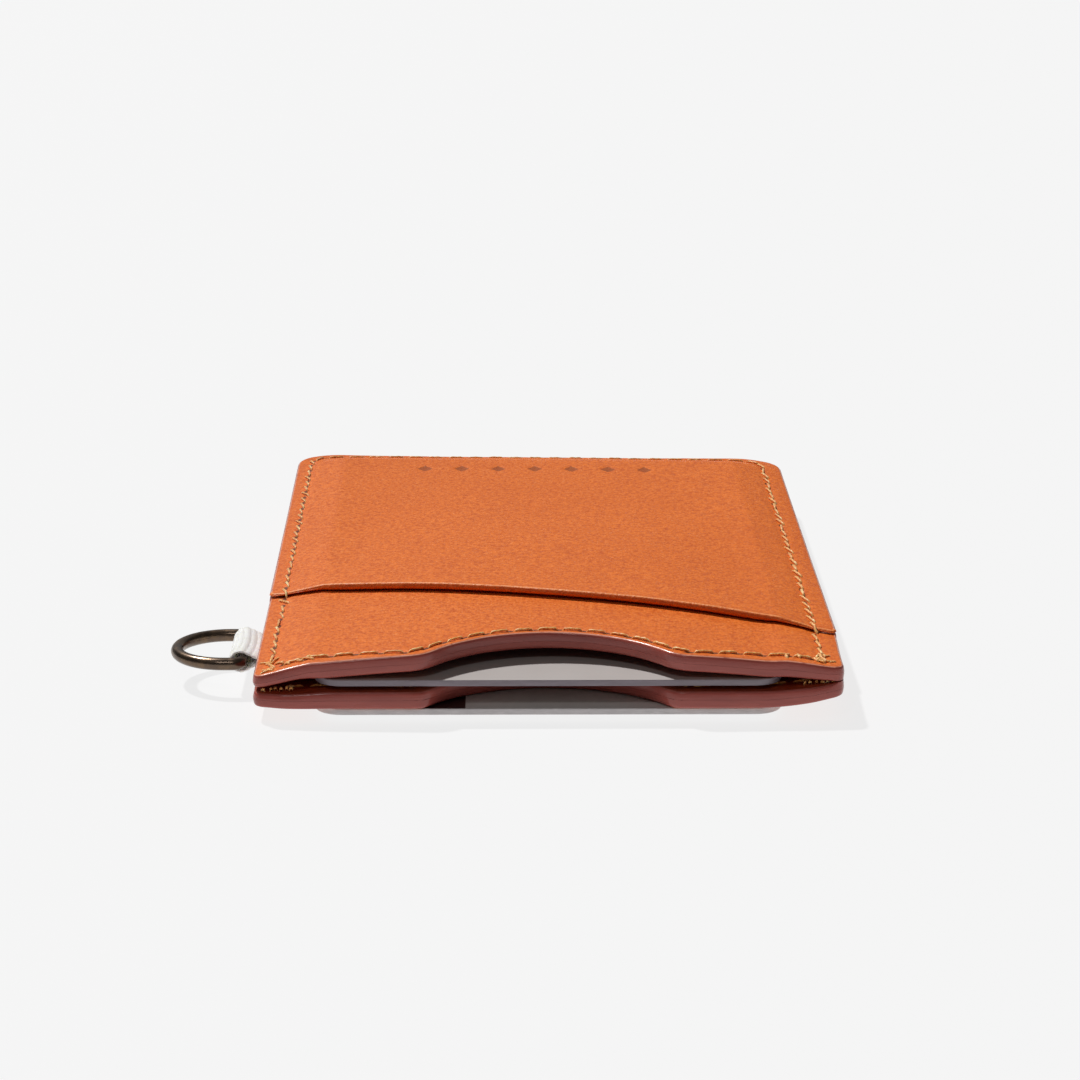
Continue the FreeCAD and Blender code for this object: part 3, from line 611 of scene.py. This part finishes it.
def leatherFinish(name, look, rows=(), gloss=0.46):
    # pebbled grain on the faces, brushed paint on the cut edges, and a paler line along their lips that is
    # partly wear and partly a painted highlight
    skin = Finish(name, IOR=1.46)
    skin.set("Specular IOR Level", 0.3)
    skin.set("Coat Roughness", 0.2)
    rim = skin.value("rim")
    pebbles = skin.cells(0.9 / look["grainSize"])
    fine = skin.noise(1.3 / look["grainSize"], 3.0)
    speckle = skin.noise(0.6 / look["grainSize"], 6.0, 0.7)
    cloud = skin.noise(60, 4.0, 0.6)
    streak = skin.noise(90, 3.0, 0.5, (1, 5, 1))
    tone = skin.mix(skin.between(speckle, 0.34, 0.62), look["deep"], look["tan"])
    tone = skin.mix(skin.between(fine, 0.52, 0.74) * 0.5, tone, look["light"])
    tone = skin.mix(skin.between(cloud * 0.6 + streak * 0.4, 0.44, 0.62) * 0.16, tone, look["deep"])
    tone = skin.mix(skin.between(rim, 1.4, 0.1) * 0.3, tone, look["deep"])
    wobble = skin.noise(420, 3.0)
    bound = skin.between(skin.value("painted"), 0.3, 0.7)
    painted = skin.between(rim + wobble * 0.16, 0.4, 0.27) * bound
    brushed = skin.noise(120, 4.0, 0.5, (1, 1, 8))
    paint = skin.mix(skin.between(brushed, 0.25, 0.75), look["paintDark"], look["paint"])
    # lip: a paler line along each rounded rim, partly wear and partly painted highlight where the rounding
    # catches the light; on paint it turns to the palest paint colour, on unpainted edges to the light leather
    # colour
    lip = skin.between(rim, 0.04, 0.16) * skin.between(rim, 0.42, 0.26)
    lip = lip * skin.between(skin.noise(700), 0.25, 0.5) * look["lip"]
    paint = skin.mix(lip, paint, look["paintRimHighlightWear"])
    tone = skin.mix(lip * (1 - bound) * 0.7, tone, look["light"])
    tone = skin.mix(painted, tone, paint)
    # the pressed outlines darken: partly pressed leather, partly painted shade
    tone = skin.mix(pressedRow(skin) * skin.between(speckle, 0.3, 0.6, 0.35, 0.6), tone, look["hole"])
    # the needle holes' darkness is painted shade
    if rows:
        hole = needleHoles(skin, rows[0])
        for row in rows[1:]:
            hole = hole.atLeast(needleHoles(skin, row))
        tone = skin.mix(hole * 0.9, tone, look["hole"])
    skin.set("Base Color", tone)
    grainRough = skin.between(speckle, 0.3, 0.7, gloss - 0.06, gloss + 0.1)
    skin.set("Roughness", grainRough * (1 - painted) + painted * skin.between(brushed, 0.3, 0.7, 0.2, 0.3))
    skin.set("Coat Weight", painted * 0.28)
    grain = pebbles * 0.6 + fine * 0.6 + speckle * 0.5
    height = grain * (1 - painted) + painted * (brushed * 0.5 + wobble * 0.5)
    skin.set("Normal", skin.bump(height, look["grainDepth"]))
    return skin.material


def threadFinish():  # twisted fibres, with paler spots that are partly wear and partly painted highlight, and stitches of unlike shade
    gold, dark, paleWearAndHighlight = colour(252, 192, 100), colour(222, 136, 58), colour(255, 230, 160)
    yarn = Finish("waxedThread", Roughness=0.42)
    yarn.set("Specular IOR Level", 0.6)
    yarn.set("Sheen Weight", 0.3)
    fibres = yarn.noise(5200, 3.0)
    tone = yarn.mix(yarn.between(fibres, 0.35, 0.6), dark, gold)
    # paler patches: partly wear, partly painted highlight on the thread
    tone = yarn.mix(yarn.between(yarn.noise(900, 3.0), 0.52, 0.72), tone, paleWearAndHighlight)
    tone = yarn.mix(yarn.between(yarn.value("shade"), 0.45, 1.0) * 0.3, tone, dark)
    yarn.set("Base Color", tone)
    yarn.set("Normal", yarn.bump(fibres, 0.00003))
    return yarn.material


def ribbonFinish():  # white grosgrain; thin cloth lets some light through
    weave = Finish("grosgrain", Roughness=0.8)
    weave.set("Sheen Weight", 0.35)
    weave.set("Subsurface Weight", 0.6)
    weave.set("Subsurface Radius", (1.0, 1.0, 0.9))
    weave.set("Subsurface Scale", 0.0007)
    warp = weave.add("TexWave", {"bands_direction": "Y"}, {"Vector": weave.place(), "Scale": 900.0,
                                                          "Distortion": 1.2, "Detail": 2.0}, "Fac")
    soft = weave.noise(700, 4.0)
    tone = weave.mix(weave.between(soft, 0.3, 0.7), colour(240, 239, 230), colour(254, 254, 249))
    weave.set("Base Color", weave.mix(warp * 0.1, tone, colour(210, 206, 192)))
    weave.set("Normal", weave.bump(warp * 0.6 + soft * 0.6, 0.00003))
    return weave.material


def brassFinish():  # dark aged brass with a mottled tarnish under a thin lacquer
    metal = Finish("agedBrass", Metallic=1.0)
    metal.set("Coat Weight", 0.25)
    metal.set("Coat Roughness", 0.22)
    tarnish = metal.noise(500, 6.0, 0.65)
    fine = metal.noise(3200, 3.0)
    tone = metal.mix(metal.between(tarnish, 0.4, 0.7), colour(98, 82, 70), colour(122, 100, 78))
    metal.set("Base Color", metal.mix(metal.between(fine, 0.55, 0.75) * 0.3, tone, colour(66, 52, 46)))
    metal.set("Roughness", metal.between(tarnish, 0.3, 0.7, 0.27, 0.35))
    metal.set("Normal", metal.bump(fine, 0.000008))
    return metal.material


def cardFinish(name, face, edge):  # hazy plastic with scuffs, and a sawn edge of its own colour
    plastic = Finish(name)
    plastic.set("Specular IOR Level", 0.5)
    haze = plastic.noise(240, 4.0)
    fine = plastic.noise(4000, 2.0)
    tone = plastic.mix(plastic.between(haze, 0.35, 0.65) * 0.3, face, tuple(v * 0.86 for v in face))
    sawn = plastic.between(plastic.noise(500, 4.0, 0.6, (1, 1, 5)), 0.35, 0.7)
    side = plastic.mix(sawn, edge, tuple(v * 1.18 for v in edge))
    scuff = plastic.between(plastic.noise(330, 6.0, 0.75, (0.35, 3, 1)), 0.66, 0.74)
    tone = plastic.mix(scuff * 0.35, tone, edge)
    plastic.set("Base Color", plastic.mix(plastic.between(plastic.value("rim"), 0.05, -0.05), tone, side))
    plastic.set("Roughness", plastic.between(haze, 0.3, 0.7, 0.34, 0.46))
    plastic.set("Normal", plastic.bump(fine, 0.000004))
    return plastic.material


def stripeFinish():  # dark magnetic coat, with faint wear along the way it is swiped
    coat = Finish("magneticCoat")
    worn = coat.noise(500, 5.0, 0.6, (3, 0.12, 1))
    coat.set("Base Color", coat.mix(coat.between(worn, 0.5, 0.8), colour(24, 14, 16), colour(44, 31, 33)))
    coat.set("Roughness", coat.between(worn, 0.4, 0.8, 0.3, 0.4))
    return coat.material


def tapeFinish():
    glue = Finish("seamTape", Roughness=0.7)
    mottle = glue.between(glue.noise(900, 3.0), 0.4, 0.6)
    glue.set("Base Color", glue.mix(mottle, colour(120, 74, 62), colour(240, 214, 200)))
    return glue.material


panelLeather = leatherFinish("tanLeather", leatherLook, ("seam", "mouth"))
pocketLeather = leatherFinish("tanPocketLeather", leatherLook, ("seam",))
plainLeather = leatherFinish("tanBackLeather", leatherLook)
innerLeatherShaded = leatherFinish("tanLiningShaded", liningLookShaded, (), 0.5)
thread = threadFinish()
ribbon = ribbonFinish()
brass = brassFinish()
tape = tapeFinish()
centrePlastic = cardFinish("greyCard", colour(184, 177, 173), colour(127, 116, 123))
rearPlastic = cardFinish("whiteCard", colour(214, 209, 206), colour(196, 190, 190))
stripeCoat = stripeFinish()
print("materials ready")


rounding = {"panel": 0.42, "square": 0.05, "hidden": 0.01, "lining": 0.38, "liningLeast": 0.02, "pocket": 0.3,
            "pocketUnder": 0.03, "pocketSlot": 0.27, "slotReach": 1.2}


def panelEdge(x, y, side):  # rounded where it shows, square where the outer pocket covers it
    covered = np.clip((y - slotLine(x, 0, side)) / 0.5 + 1, 0, 1)
    return rounding["panel"] * (1 - covered) + rounding["square"] * covered


def liningEdge(x, y):  # rounded along the mouth, and square where the right corner is filled
    corner = 1 - smooth(x, halfWidth - 1.7, halfWidth - 1.0)
    atMouth = np.exp(-np.clip(y - mouthY - 2, 0, None) / 3) + (np.abs(x) < halfWidth - 3) * (y < mouthY + 12)
    return rounding["liningLeast"] + rounding["lining"] * np.clip(atMouth, 0, 1) * corner


def pocketUnderEdge(x, y, side):  # a pocket's inner rim is rounded at its open slot only
    atSlot = np.clip(1 - (y - slotLine(x, 0, side)) / rounding["slotReach"], 0, 1)
    return rounding["pocketUnder"] + rounding["pocketSlot"] * atSlot


def leather(name, node, ends, faces, edges, material, **extras):
    slotName = "lining_leather" if name.startswith("lining") else "outer_leather"
    finishPiece(plate(name, ends, faces, edges, **extras), "wallet", slotName, material, node)


def pocket(name, node, side, faces, material, **extras):
    # an outer pocket: its cut edge is painted, apart from its open slot
    edges = [rounding["pocket"], lambda x, y: pocketUnderEdge(x, y, side)][::side]
    leather(name, node, (lambda x, inset: slotLine(x, inset, side), farLine), faces, edges, material,
            paintWhere=lambda x, y: np.clip(y - slotLine(x, 0, side) - 0.4, 0, 1), **extras)


def makeLeather():
    front, rear = (frontMouthLine, farLine), (rearMouthLine, farLine)
    hidden = rounding["hidden"]
    pocket("pocketFront", "front_pocket", 1, (frontPocketTop, frontPocketBottom), pocketLeather,
           lines={"seam": seamDense}, step=0.44, marks=pressedMarks)
    leather("panelFront", "front_panel", front, (frontPanelTop, frontPanelBottom),
            (lambda x, y: panelEdge(x, y, 1), hidden), panelLeather,
            lines={"seam": seamDense, "mouth": frontMouthDense}, joined="below")
    leather("liningFront", "front_lining", front, (frontPanelBottom, frontLiningBottom),
            (hidden, liningEdge), innerLeatherShaded, step=0.9, joined="above")
    leather("liningBack", "back_lining", rear, (rearLiningTop, rearPanelTop),
            (liningEdge, hidden), innerLeatherShaded, step=0.9, joined="below")
    leather("panelBack", "back_panel", rear, (rearPanelTop, rearPanelBottom),
            (hidden, lambda x, y: panelEdge(x, y, -1)), plainLeather, step=0.7, joined="above")
    pocket("pocketBack", "back_pocket", -1, (rearPocketTop, rearPocketBottom), plainLeather, step=0.7)


makeLeather()
print("leather made")


stitch = {"radius": 0.15, "length": 0.86, "slant": 0.3, "mouthSlant": 0.06, "lift": 0.08, "plunge": 0.34,
          "dipStart": 0.62, "taper": 0.45, "twist": 1.3, "ridge": 0.3, "drift": 0.05, "around": 8, "along": 9}


def frontFace(x, y):
    return np.where(y > slotLine(x, 0, 1), frontPocketTop(x, y), frontPanelTop(x, y))


def rearFace(x, y):
    return np.where(y > slotLine(x, 0, -1), rearPocketBottom(x, y), rearPanelBottom)


def stitches(name, node, holes, face, side, seed, lift=stitch["lift"], extra=None,
             slant=stitch["mouthSlant"]):
    # each stitch: a line from hole to hole that dips into both by a square law; its round section has two
    # lobes that turn as it goes, and every stitch leans a little and differs a little
    random = np.random.default_rng(seed)
    starts, ends = holes[:-1], holes[1:]
    if extra is not None:
        starts, ends = np.concatenate([starts, extra[0]]), np.concatenate([ends, extra[1]])
    count = len(starts)
    run = ends - starts
    size = np.hypot(*run.T)[:, None]
    run = run / size
    across = leftOf(run)
    part = np.linspace(0, 1, stitch["along"])
    trim = (1 - stitch["length"]) / 2
    lean = slant * (1 + 0.5 * random.standard_normal(count))[:, None]
    drift = stitch["drift"] * random.standard_normal((count, 1))
    reach = (trim + (1 - 2 * trim) * part)[None, :]
    centre = (starts[:, None] + run[:, None] * (size * reach)[..., None]
              + across[:, None] * (drift + lean * (2 * part - 1))[..., None])
    level = at(face, centre[..., 0], centre[..., 1])
    first, last = level[:, :1], level[:, -1:]
    chord = first + (last - first) * part
    level = np.maximum(level, chord) if side > 0 else np.minimum(level, chord)
    dip = np.clip(np.abs(2 * part - 1) - stitch["dipStart"], 0, None) / (1 - stitch["dipStart"])
    lifted = lift * (1 + 0.2 * random.standard_normal((count, 1))) - stitch["plunge"] * dip ** 2
    height = level + side * lifted
    angle = np.linspace(0, 2 * math.pi, stitch["around"], endpoint=False)
    turns = 2 * math.pi * stitch["twist"] * part[:, None] + random.uniform(0, 2 * math.pi, (count, 1, 1))
    lobes = 1 - stitch["ridge"] + stitch["ridge"] * np.abs(np.cos(angle - turns)) * 1.6
    radius = stitch["radius"] * lobes * (1 - stitch["taper"] * dip[:, None] ** 2)
    radius = radius * (1 + 0.08 * random.standard_normal((count, 1, 1)))
    sideways = (radius * np.cos(angle))[..., None] * across[:, None, None]
    points = np.concatenate([centre[:, :, None] + sideways,
                             (height[:, :, None] + radius * np.sin(angle))[..., None]], axis=-1)
    base = np.arange(count * stitch["along"] * stitch["around"]).reshape(count, stitch["along"], -1)
    a, b = base[:, :-1], base[:, 1:]
    quads = np.stack([a, np.roll(a, -1, axis=2), np.roll(b, -1, axis=2), b], axis=-1).reshape(-1, 4)
    faces = quads.tolist() + base[:, 0, ::-1].tolist() + base[:, -1].tolist()
    shade = np.repeat(random.random(count), base[0].size)
    piece = makeMesh(name, settle(points.reshape(-1, 3)), faces, {"shade": shade}, crease=80)
    return finishPiece(piece, "wallet", "thread", thread, *([node] if node else []))


def backTack(holes, seed):  # both ends of a row are sewn over and over
    random = np.random.default_rng(seed)
    ends = np.concatenate([np.repeat(holes[:2], 4, axis=0), np.repeat(holes[-2:], 4, axis=0)])
    heading = random.uniform(0, 2 * math.pi, len(ends))
    reach = 0.5 + 0.35 * random.random((len(ends), 1))
    step = np.stack([np.cos(heading), np.sin(heading)], axis=1) * reach
    middle = ends + 0.45 * random.standard_normal(ends.shape)
    return middle - step, middle + step


tails = {"each": 6, "inner": 4.4, "outer": 1.3, "deep": 0.75, "reach": 0.2, "lift": 0.06, "follow": 0.25}


def makeTails():  # the seam's trimmed tails, melted in the slit at both near corners
    random = np.random.default_rng(12)
    count = 2 * tails["each"]
    places = np.linspace(halfWidth - tails["inner"], halfWidth - tails["outer"], tails["each"])
    x = np.concatenate([-places, places]) + 0.08 * random.standard_normal(count)
    y = mouthY + tails["deep"] + 0.12 * random.standard_normal(count)
    middle = np.stack([x, y], axis=1)
    reach = tails["reach"] * np.stack([np.ones(count), 0.5 * random.standard_normal(count)], axis=1)

    def inSlit(x, y):
        return rearLiningHigh[2] + tails["lift"] + tails["follow"] * frontRise(x, y)

    stitches("seamTails", None, middle[:1], inSlit, 1, 13, extra=(middle - reach, middle + reach))


def makeThread():
    seamSlant = stitch["slant"]
    stitches("seamStitchesFront", "seam_front_thread", seamHoles, frontFace, 1, 3,
             extra=backTack(seamHoles, 5), slant=seamSlant)
    stitches("seamStitchesBack", "seam_back_thread", seamHoles, rearFace, -1, 4, slant=seamSlant)
    front, back = frontMouthHoles, backMouthHoles
    stitches("mouthStitchesFront", "front_mouth_outer_thread", front, frontPanelTop, 1, 6,
             extra=backTack(front, 8))
    stitches("mouthStitchesFrontInside", "front_mouth_inner_thread", front, frontLiningBottom, -1, 9, -0.1)
    stitches("mouthStitchesBackInside", "back_mouth_inner_thread", back, rearLiningTop, 1, 10, 0.08)
    stitches("mouthStitchesBack", "back_mouth_outer_thread", back, rearPanelBottom, -1, 11, -0.12)
    makeTails()


makeThread()
print("thread made")


seamTape = {"width": 2.2, "inset": 0.3, "spacing": 1.0, "nearStart": 0.8, "slotStart": 0.5, "slitStart": 8.4,
            "sideX": 34.0}


def strip(name, node, low, high, startLeft, startRight):
    # a flat section carried along the seam: four corners at each station, capped at both ends
    inset = seamTape["inset"] + seamTape["width"] / 2
    line = walk(roundTheEnd(inset, mouthY + startLeft, mouthY + startRight, 16), seamTape["spacing"])
    across = leftOf(headings(line)) * seamTape["width"] / 2
    left, right = line + across, line - across
    corners = [np.column_stack([side, at(face, *side.T)])
               for side, face in ((left, high), (right, high), (right, low), (left, low))]
    points = np.stack(corners, axis=1)
    base = np.arange(len(line) * 4).reshape(-1, 4)
    faces = band(base[:-1], base[1:])[:, ::-1].tolist() + [base[0][::-1].tolist(), base[-1].tolist()]
    piece = makeMesh(name, settle(points.reshape(-1, 3)), faces)
    return finishPiece(piece, "wallet", "seam_tape", tape, node)


def makeTapes():
    def underLining(x, y):  # the height of the lining right at the side
        return frontLiningBottom(np.sign(x) * seamTape["sideX"], y)

    high, low = slot["high"] + seamTape["slotStart"], slot["low"] + seamTape["slotStart"]
    left, right = seamTape["slitStart"], seamTape["nearStart"]
    strip("tapeCentre", "centre_seam_tape", rearLiningTop, underLining, left, right)
    strip("tapeFront", "front_seam_tape", frontPanelTop, frontPocketBottom, high, low)
    strip("tapeBack", "back_seam_tape", rearPocketTop, rearPanelBottom, low, high)


makeTapes()
print("tapes made")


tab = {"ply": 0.5, "rib": 0.8, "ribDepth": 0.1, "ribBow": 0.37, "barGap": 0.05, "wire": 0.75, "slack": 0.16}
ringX = ringHigh[0] - tab["wire"]
ringY = (ringLow[1] + ringHigh[1]) / 2
ringZ = (ringLow[2] + ringHigh[2]) / 2


def tabLine():
    # the ribbon's middle line in XZ: along the upper ply, round the bar, back along the lower ply
    lead = tab["wire"] + tab["barGap"] + tab["ply"] / 2 + tab["slack"]
    loopX = ringX - tab["slack"] * 0.8
    lip, tail = -halfWidth - 0.1, tabHigh[0] - 0.1
    half = tab["ply"] / 2 + 0.01
    turn = math.acos(lead / math.hypot(lip - loopX, half)) + math.atan2(half, lip - loopX)
    around = np.linspace(turn, 2 * math.pi - turn, 60)
    loop = np.stack([loopX + lead * np.cos(around), ringZ + lead * np.sin(around)], axis=1)
    plies = [[[tail, ringZ + half], [lip, ringZ + half]], loop, [[lip, ringZ - half], [tail, ringZ - half]]]
    line = walk(np.concatenate(plies), 0.07)
    for _ in range(12):  # relaxes the bends as woven tape would
        line[1:-1] = line[1:-1] * 0.5 + (line[:-2] + line[2:]) * 0.25
    return line


def makeTab():
    # the line given a width and a thickness: the ribs are a bowed wave in it, and both selvedges are thin
    line = tabLine()
    distance = np.concatenate([[0], np.cumsum(np.hypot(*np.diff(line, axis=0).T))])
    outward = leftOf(headings(line))
    if outward[len(line) // 2, 0] > 0:
        outward = -outward
    halfTab = (tabHigh[1] - tabLow[1]) / 2
    width = halfTab * np.sin(np.linspace(-math.pi / 2, math.pi / 2, 31))
    selvedge = np.clip(1 - (np.abs(width) / halfTab) ** 10, 0, 1) ** 0.5
    bowed = distance[:, None] + tab["ribBow"] * (1 - (width / halfTab) ** 2)
    rib = np.abs(np.sin(math.pi * bowed / tab["rib"])) ** 0.8
    thick = (tab["ply"] / 2 - tab["ribDepth"] + tab["ribDepth"] * rib) * (0.35 + 0.65 * selvedge)
    shift = outward[:, None] * thick[..., None]
    y = np.broadcast_to(ringY + width, thick.shape)
    sides = (line[:, None] + shift, line[:, None] - shift)
    sheets = [np.stack([side[..., 0], y, side[..., 1]], axis=-1) for side in sides]
    points = np.concatenate([sheet.reshape(-1, 3) for sheet in sheets])
    rim = rimLoop(*y.shape)
    wall = band(rim, rim + y.size)
    faces = np.concatenate([gridFaces(*y.shape), wall, gridFaces(*y.shape, y.size, flip=True)])
    piece = makeMesh("keyTab", points, faces.tolist(), crease=70)
    fixNormals(piece)
    return finishPiece(piece, "wallet", "ribbon", ribbon, "key_tab")


ring = {"wire": 0.75, "bow": 5.9, "corner": 1.0, "around": 20}


def makeRing():
    # a round section carried along a D: the bar, two knees, two short arms and the half-round bow
    bowRadius, corner = ring["bow"], ring["corner"]
    straight = bowRadius - corner
    bowX = ringLow[0] + ring["wire"] + bowRadius
    knee = np.linspace(0, math.pi / 2, 14)
    halfTurn = np.linspace(math.pi / 2, 3 * math.pi / 2, 90)
    upper = np.stack([ringX - corner + corner * np.cos(knee), straight + corner * np.sin(knee)], axis=1)
    bend = np.stack([bowX + bowRadius * np.cos(halfTurn), bowRadius * np.sin(halfTurn)], axis=1)
    lower = upper[::-1] * [1, -1]
    bar = np.stack([np.full(24, ringX), np.linspace(-straight, straight, 24)], axis=1)[1:-1]
    arms = [np.linspace(upper[-1], bend[0], 8)[1:-1], np.linspace(bend[-1], lower[0], 8)[1:-1]]
    line = np.concatenate([upper, arms[0], bend, arms[1], lower, bar])
    outward = -leftOf(loopHeadings(line))
    angle = np.linspace(0, 2 * math.pi, ring["around"], endpoint=False)
    flat = line[:, None] + outward[:, None] * (ring["wire"] * np.cos(angle))[None, :, None]
    height = np.broadcast_to(ringZ + ring["wire"] * np.sin(angle), flat.shape[:2])
    points = np.stack([flat[..., 0], flat[..., 1] + ringY, height], axis=-1).reshape(-1, 3)
    base = np.arange(len(points)).reshape(len(line), -1)
    piece = makeMesh("dRing", points, band(base, np.roll(base, -1, axis=0)).tolist(), crease=80)
    fixNormals(piece)
    return finishPiece(piece, "ring", "ring_brass", brass, "d_ring")


makeTab()
makeRing()
print("key tab and ring made")


card = {"radius": 3.18, "rimInset": 0.1, "round": 0.1, "step": 1.5}
cardOffsets = np.array([0, 0.05, 0.15, 0.35, 0.7, 1.2, 1.8, 2.5, 3.1])
stripe = {"radius": 0, "endGap": 0.12, "proud": 0.012, "rimInset": 0.02, "round": 0.01, "step": 2.0}
stripeOffsets = np.array([0, 0.3, 0.8])


def flatPlate(name, low, high, look, width, offsets, **extras):
    # a level sheet between two heights, with one rounding all the way round; its corners may be cut round too
    def cut(x, inset):
        return cornerCut(x, inset, look["radius"], width) if look["radius"] else 0 * x

    ends = (lambda x, inset: low[1] + inset + cut(x, inset), lambda x, inset: high[1] - inset - cut(x, inset))
    return plate(name, ends, (high[2], low[2]), (look["round"],) * 2, width=width, step=look["step"],
                 offsets=offsets, inset=look["rimInset"], bulge=0.0, **extras)


def makeCard(name, node, body, material):
    low, high = boxOf(node)
    piece = flatPlate(name, low, high, card, high[0], cardOffsets, shape=None)
    return finishPiece(piece, body, "card_plastic", material, node)


def makeStripe():  # stands a hair proud of its card, whose corners it stops short of
    low, high = boxOf("back_card_stripe")
    middle = (low[0] + high[0]) / 2
    low[1] += stripe["endGap"]
    high[1] -= stripe["endGap"]
    high[2] += stripe["proud"]
    piece = flatPlate("stripe", low, high, stripe, (high[0] - low[0]) / 2, stripeOffsets,
                      shape=lambda points: points + [middle, 0, 0])
    return finishPiece(piece, "back_card", "stripe_coat", stripeCoat, "back_card_stripe")


makeCard("cardCentre", "centre_card", "centre_card", centrePlastic)
makeCard("cardBack", "back_card", "back_card", rearPlastic)
makeStripe()
print("cards made")


studio = {"floorReach": 6.0, "floorTone": 0.10, "floorGlow": 0.80, "fillTone": 1.0, "fill": 0.07,
          "sun": 3.4, "sunAngle": 3.5, "sunHeading": (1.4, -1.6, -3.3)}
view = {"lens": 111.9, "sensor": 36, "place": (-6.06, -417.71, 120.97), "pitch": 15.10, "yaw": -0.78,
        "roll": 0.12}


def show(name, data):
    holder = bpy.data.objects.new(name, data)
    bpy.context.scene.collection.objects.link(holder)
    return holder


def makeFloor():
    mesh = bpy.data.meshes.new("floor")
    far = studio["floorReach"]
    mesh.from_pydata([(-far, -far, 0), (far, -far, 0), (far, far, 0), (-far, far, 0)], [], [(0, 1, 2, 3)])
    paper = Finish("paleFloor", Roughness=0.9)
    paper.set("Specular IOR Level", 0.1)
    paper.set("Base Color", (studio["floorTone"],) * 3)
    paper.set("Emission Color", (1.0, 1.0, 1.0))
    paper.set("Emission Strength", studio["floorGlow"])
    mesh.materials.append(paper.material)
    show("floor", mesh)


def aimed(holder, heading):
    holder.rotation_euler = mathutils.Vector(heading).to_track_quat("-Z", "Y").to_euler()


def areaLight(name, place, aim, size, power, glossOnly=False):
    light = bpy.data.lights.new(name, "AREA")
    light.shape = "RECTANGLE"
    light.size, light.size_y = size
    light.energy = power
    holder = show(name, light)
    holder.location = place
    holder.visible_diffuse = not glossOnly
    aimed(holder, np.array(aim) - np.array(place))


def makeLights():
    areaLight("frontSpot", (-0.125, -0.45, 0.48), (-0.02, -0.05, 0.006), (0.022, 0.022), 0.32)
    areaLight("backWall", (0.0, 1.2, 0.75), (0, 0, 0), (2.0, 1.3), 1.6, glossOnly=True)
    sun = bpy.data.lights.new("windowLight", "SUN")
    sun.energy = studio["sun"]
    sun.angle = math.radians(studio["sunAngle"])
    aimed(show("windowLight", sun), studio["sunHeading"])
    world = bpy.data.worlds.new("studio")
    bpy.context.scene.world = world
    world.use_nodes = True
    background = world.node_tree.nodes["Background"]
    background.inputs["Color"].default_value = (studio["fillTone"],) * 3 + (1,)
    background.inputs["Strength"].default_value = studio["fill"]


def makeCamera():  # turned by yaw and pitch, then rolled about the way that it looks
    camera = show("camera", bpy.data.cameras.new("camera"))
    bpy.context.scene.camera = camera
    camera.data.lens = view["lens"]
    camera.data.sensor_width = view["sensor"]
    camera.location = np.array(view["place"]) * mm
    pitch, yaw, roll = (math.radians(view[key]) for key in ("pitch", "yaw", "roll"))
    level = math.cos(pitch)
    forward = mathutils.Vector((-math.sin(yaw) * level, math.cos(yaw) * level, -math.sin(pitch)))
    right = mathutils.Vector((math.cos(yaw), math.sin(yaw), 0))
    up = right.cross(forward)
    rolledRight = right * math.cos(roll) + up * math.sin(roll)
    rolledUp = up * math.cos(roll) - right * math.sin(roll)
    turned = mathutils.Matrix((rolledRight, rolledUp, -forward)).transposed().to_4x4()
    camera.matrix_world = mathutils.Matrix.Translation(camera.location) @ turned


makeFloor()
makeLights()
makeCamera()
bpy.context.scene.view_settings.view_transform = "Standard"
print("studio ready")
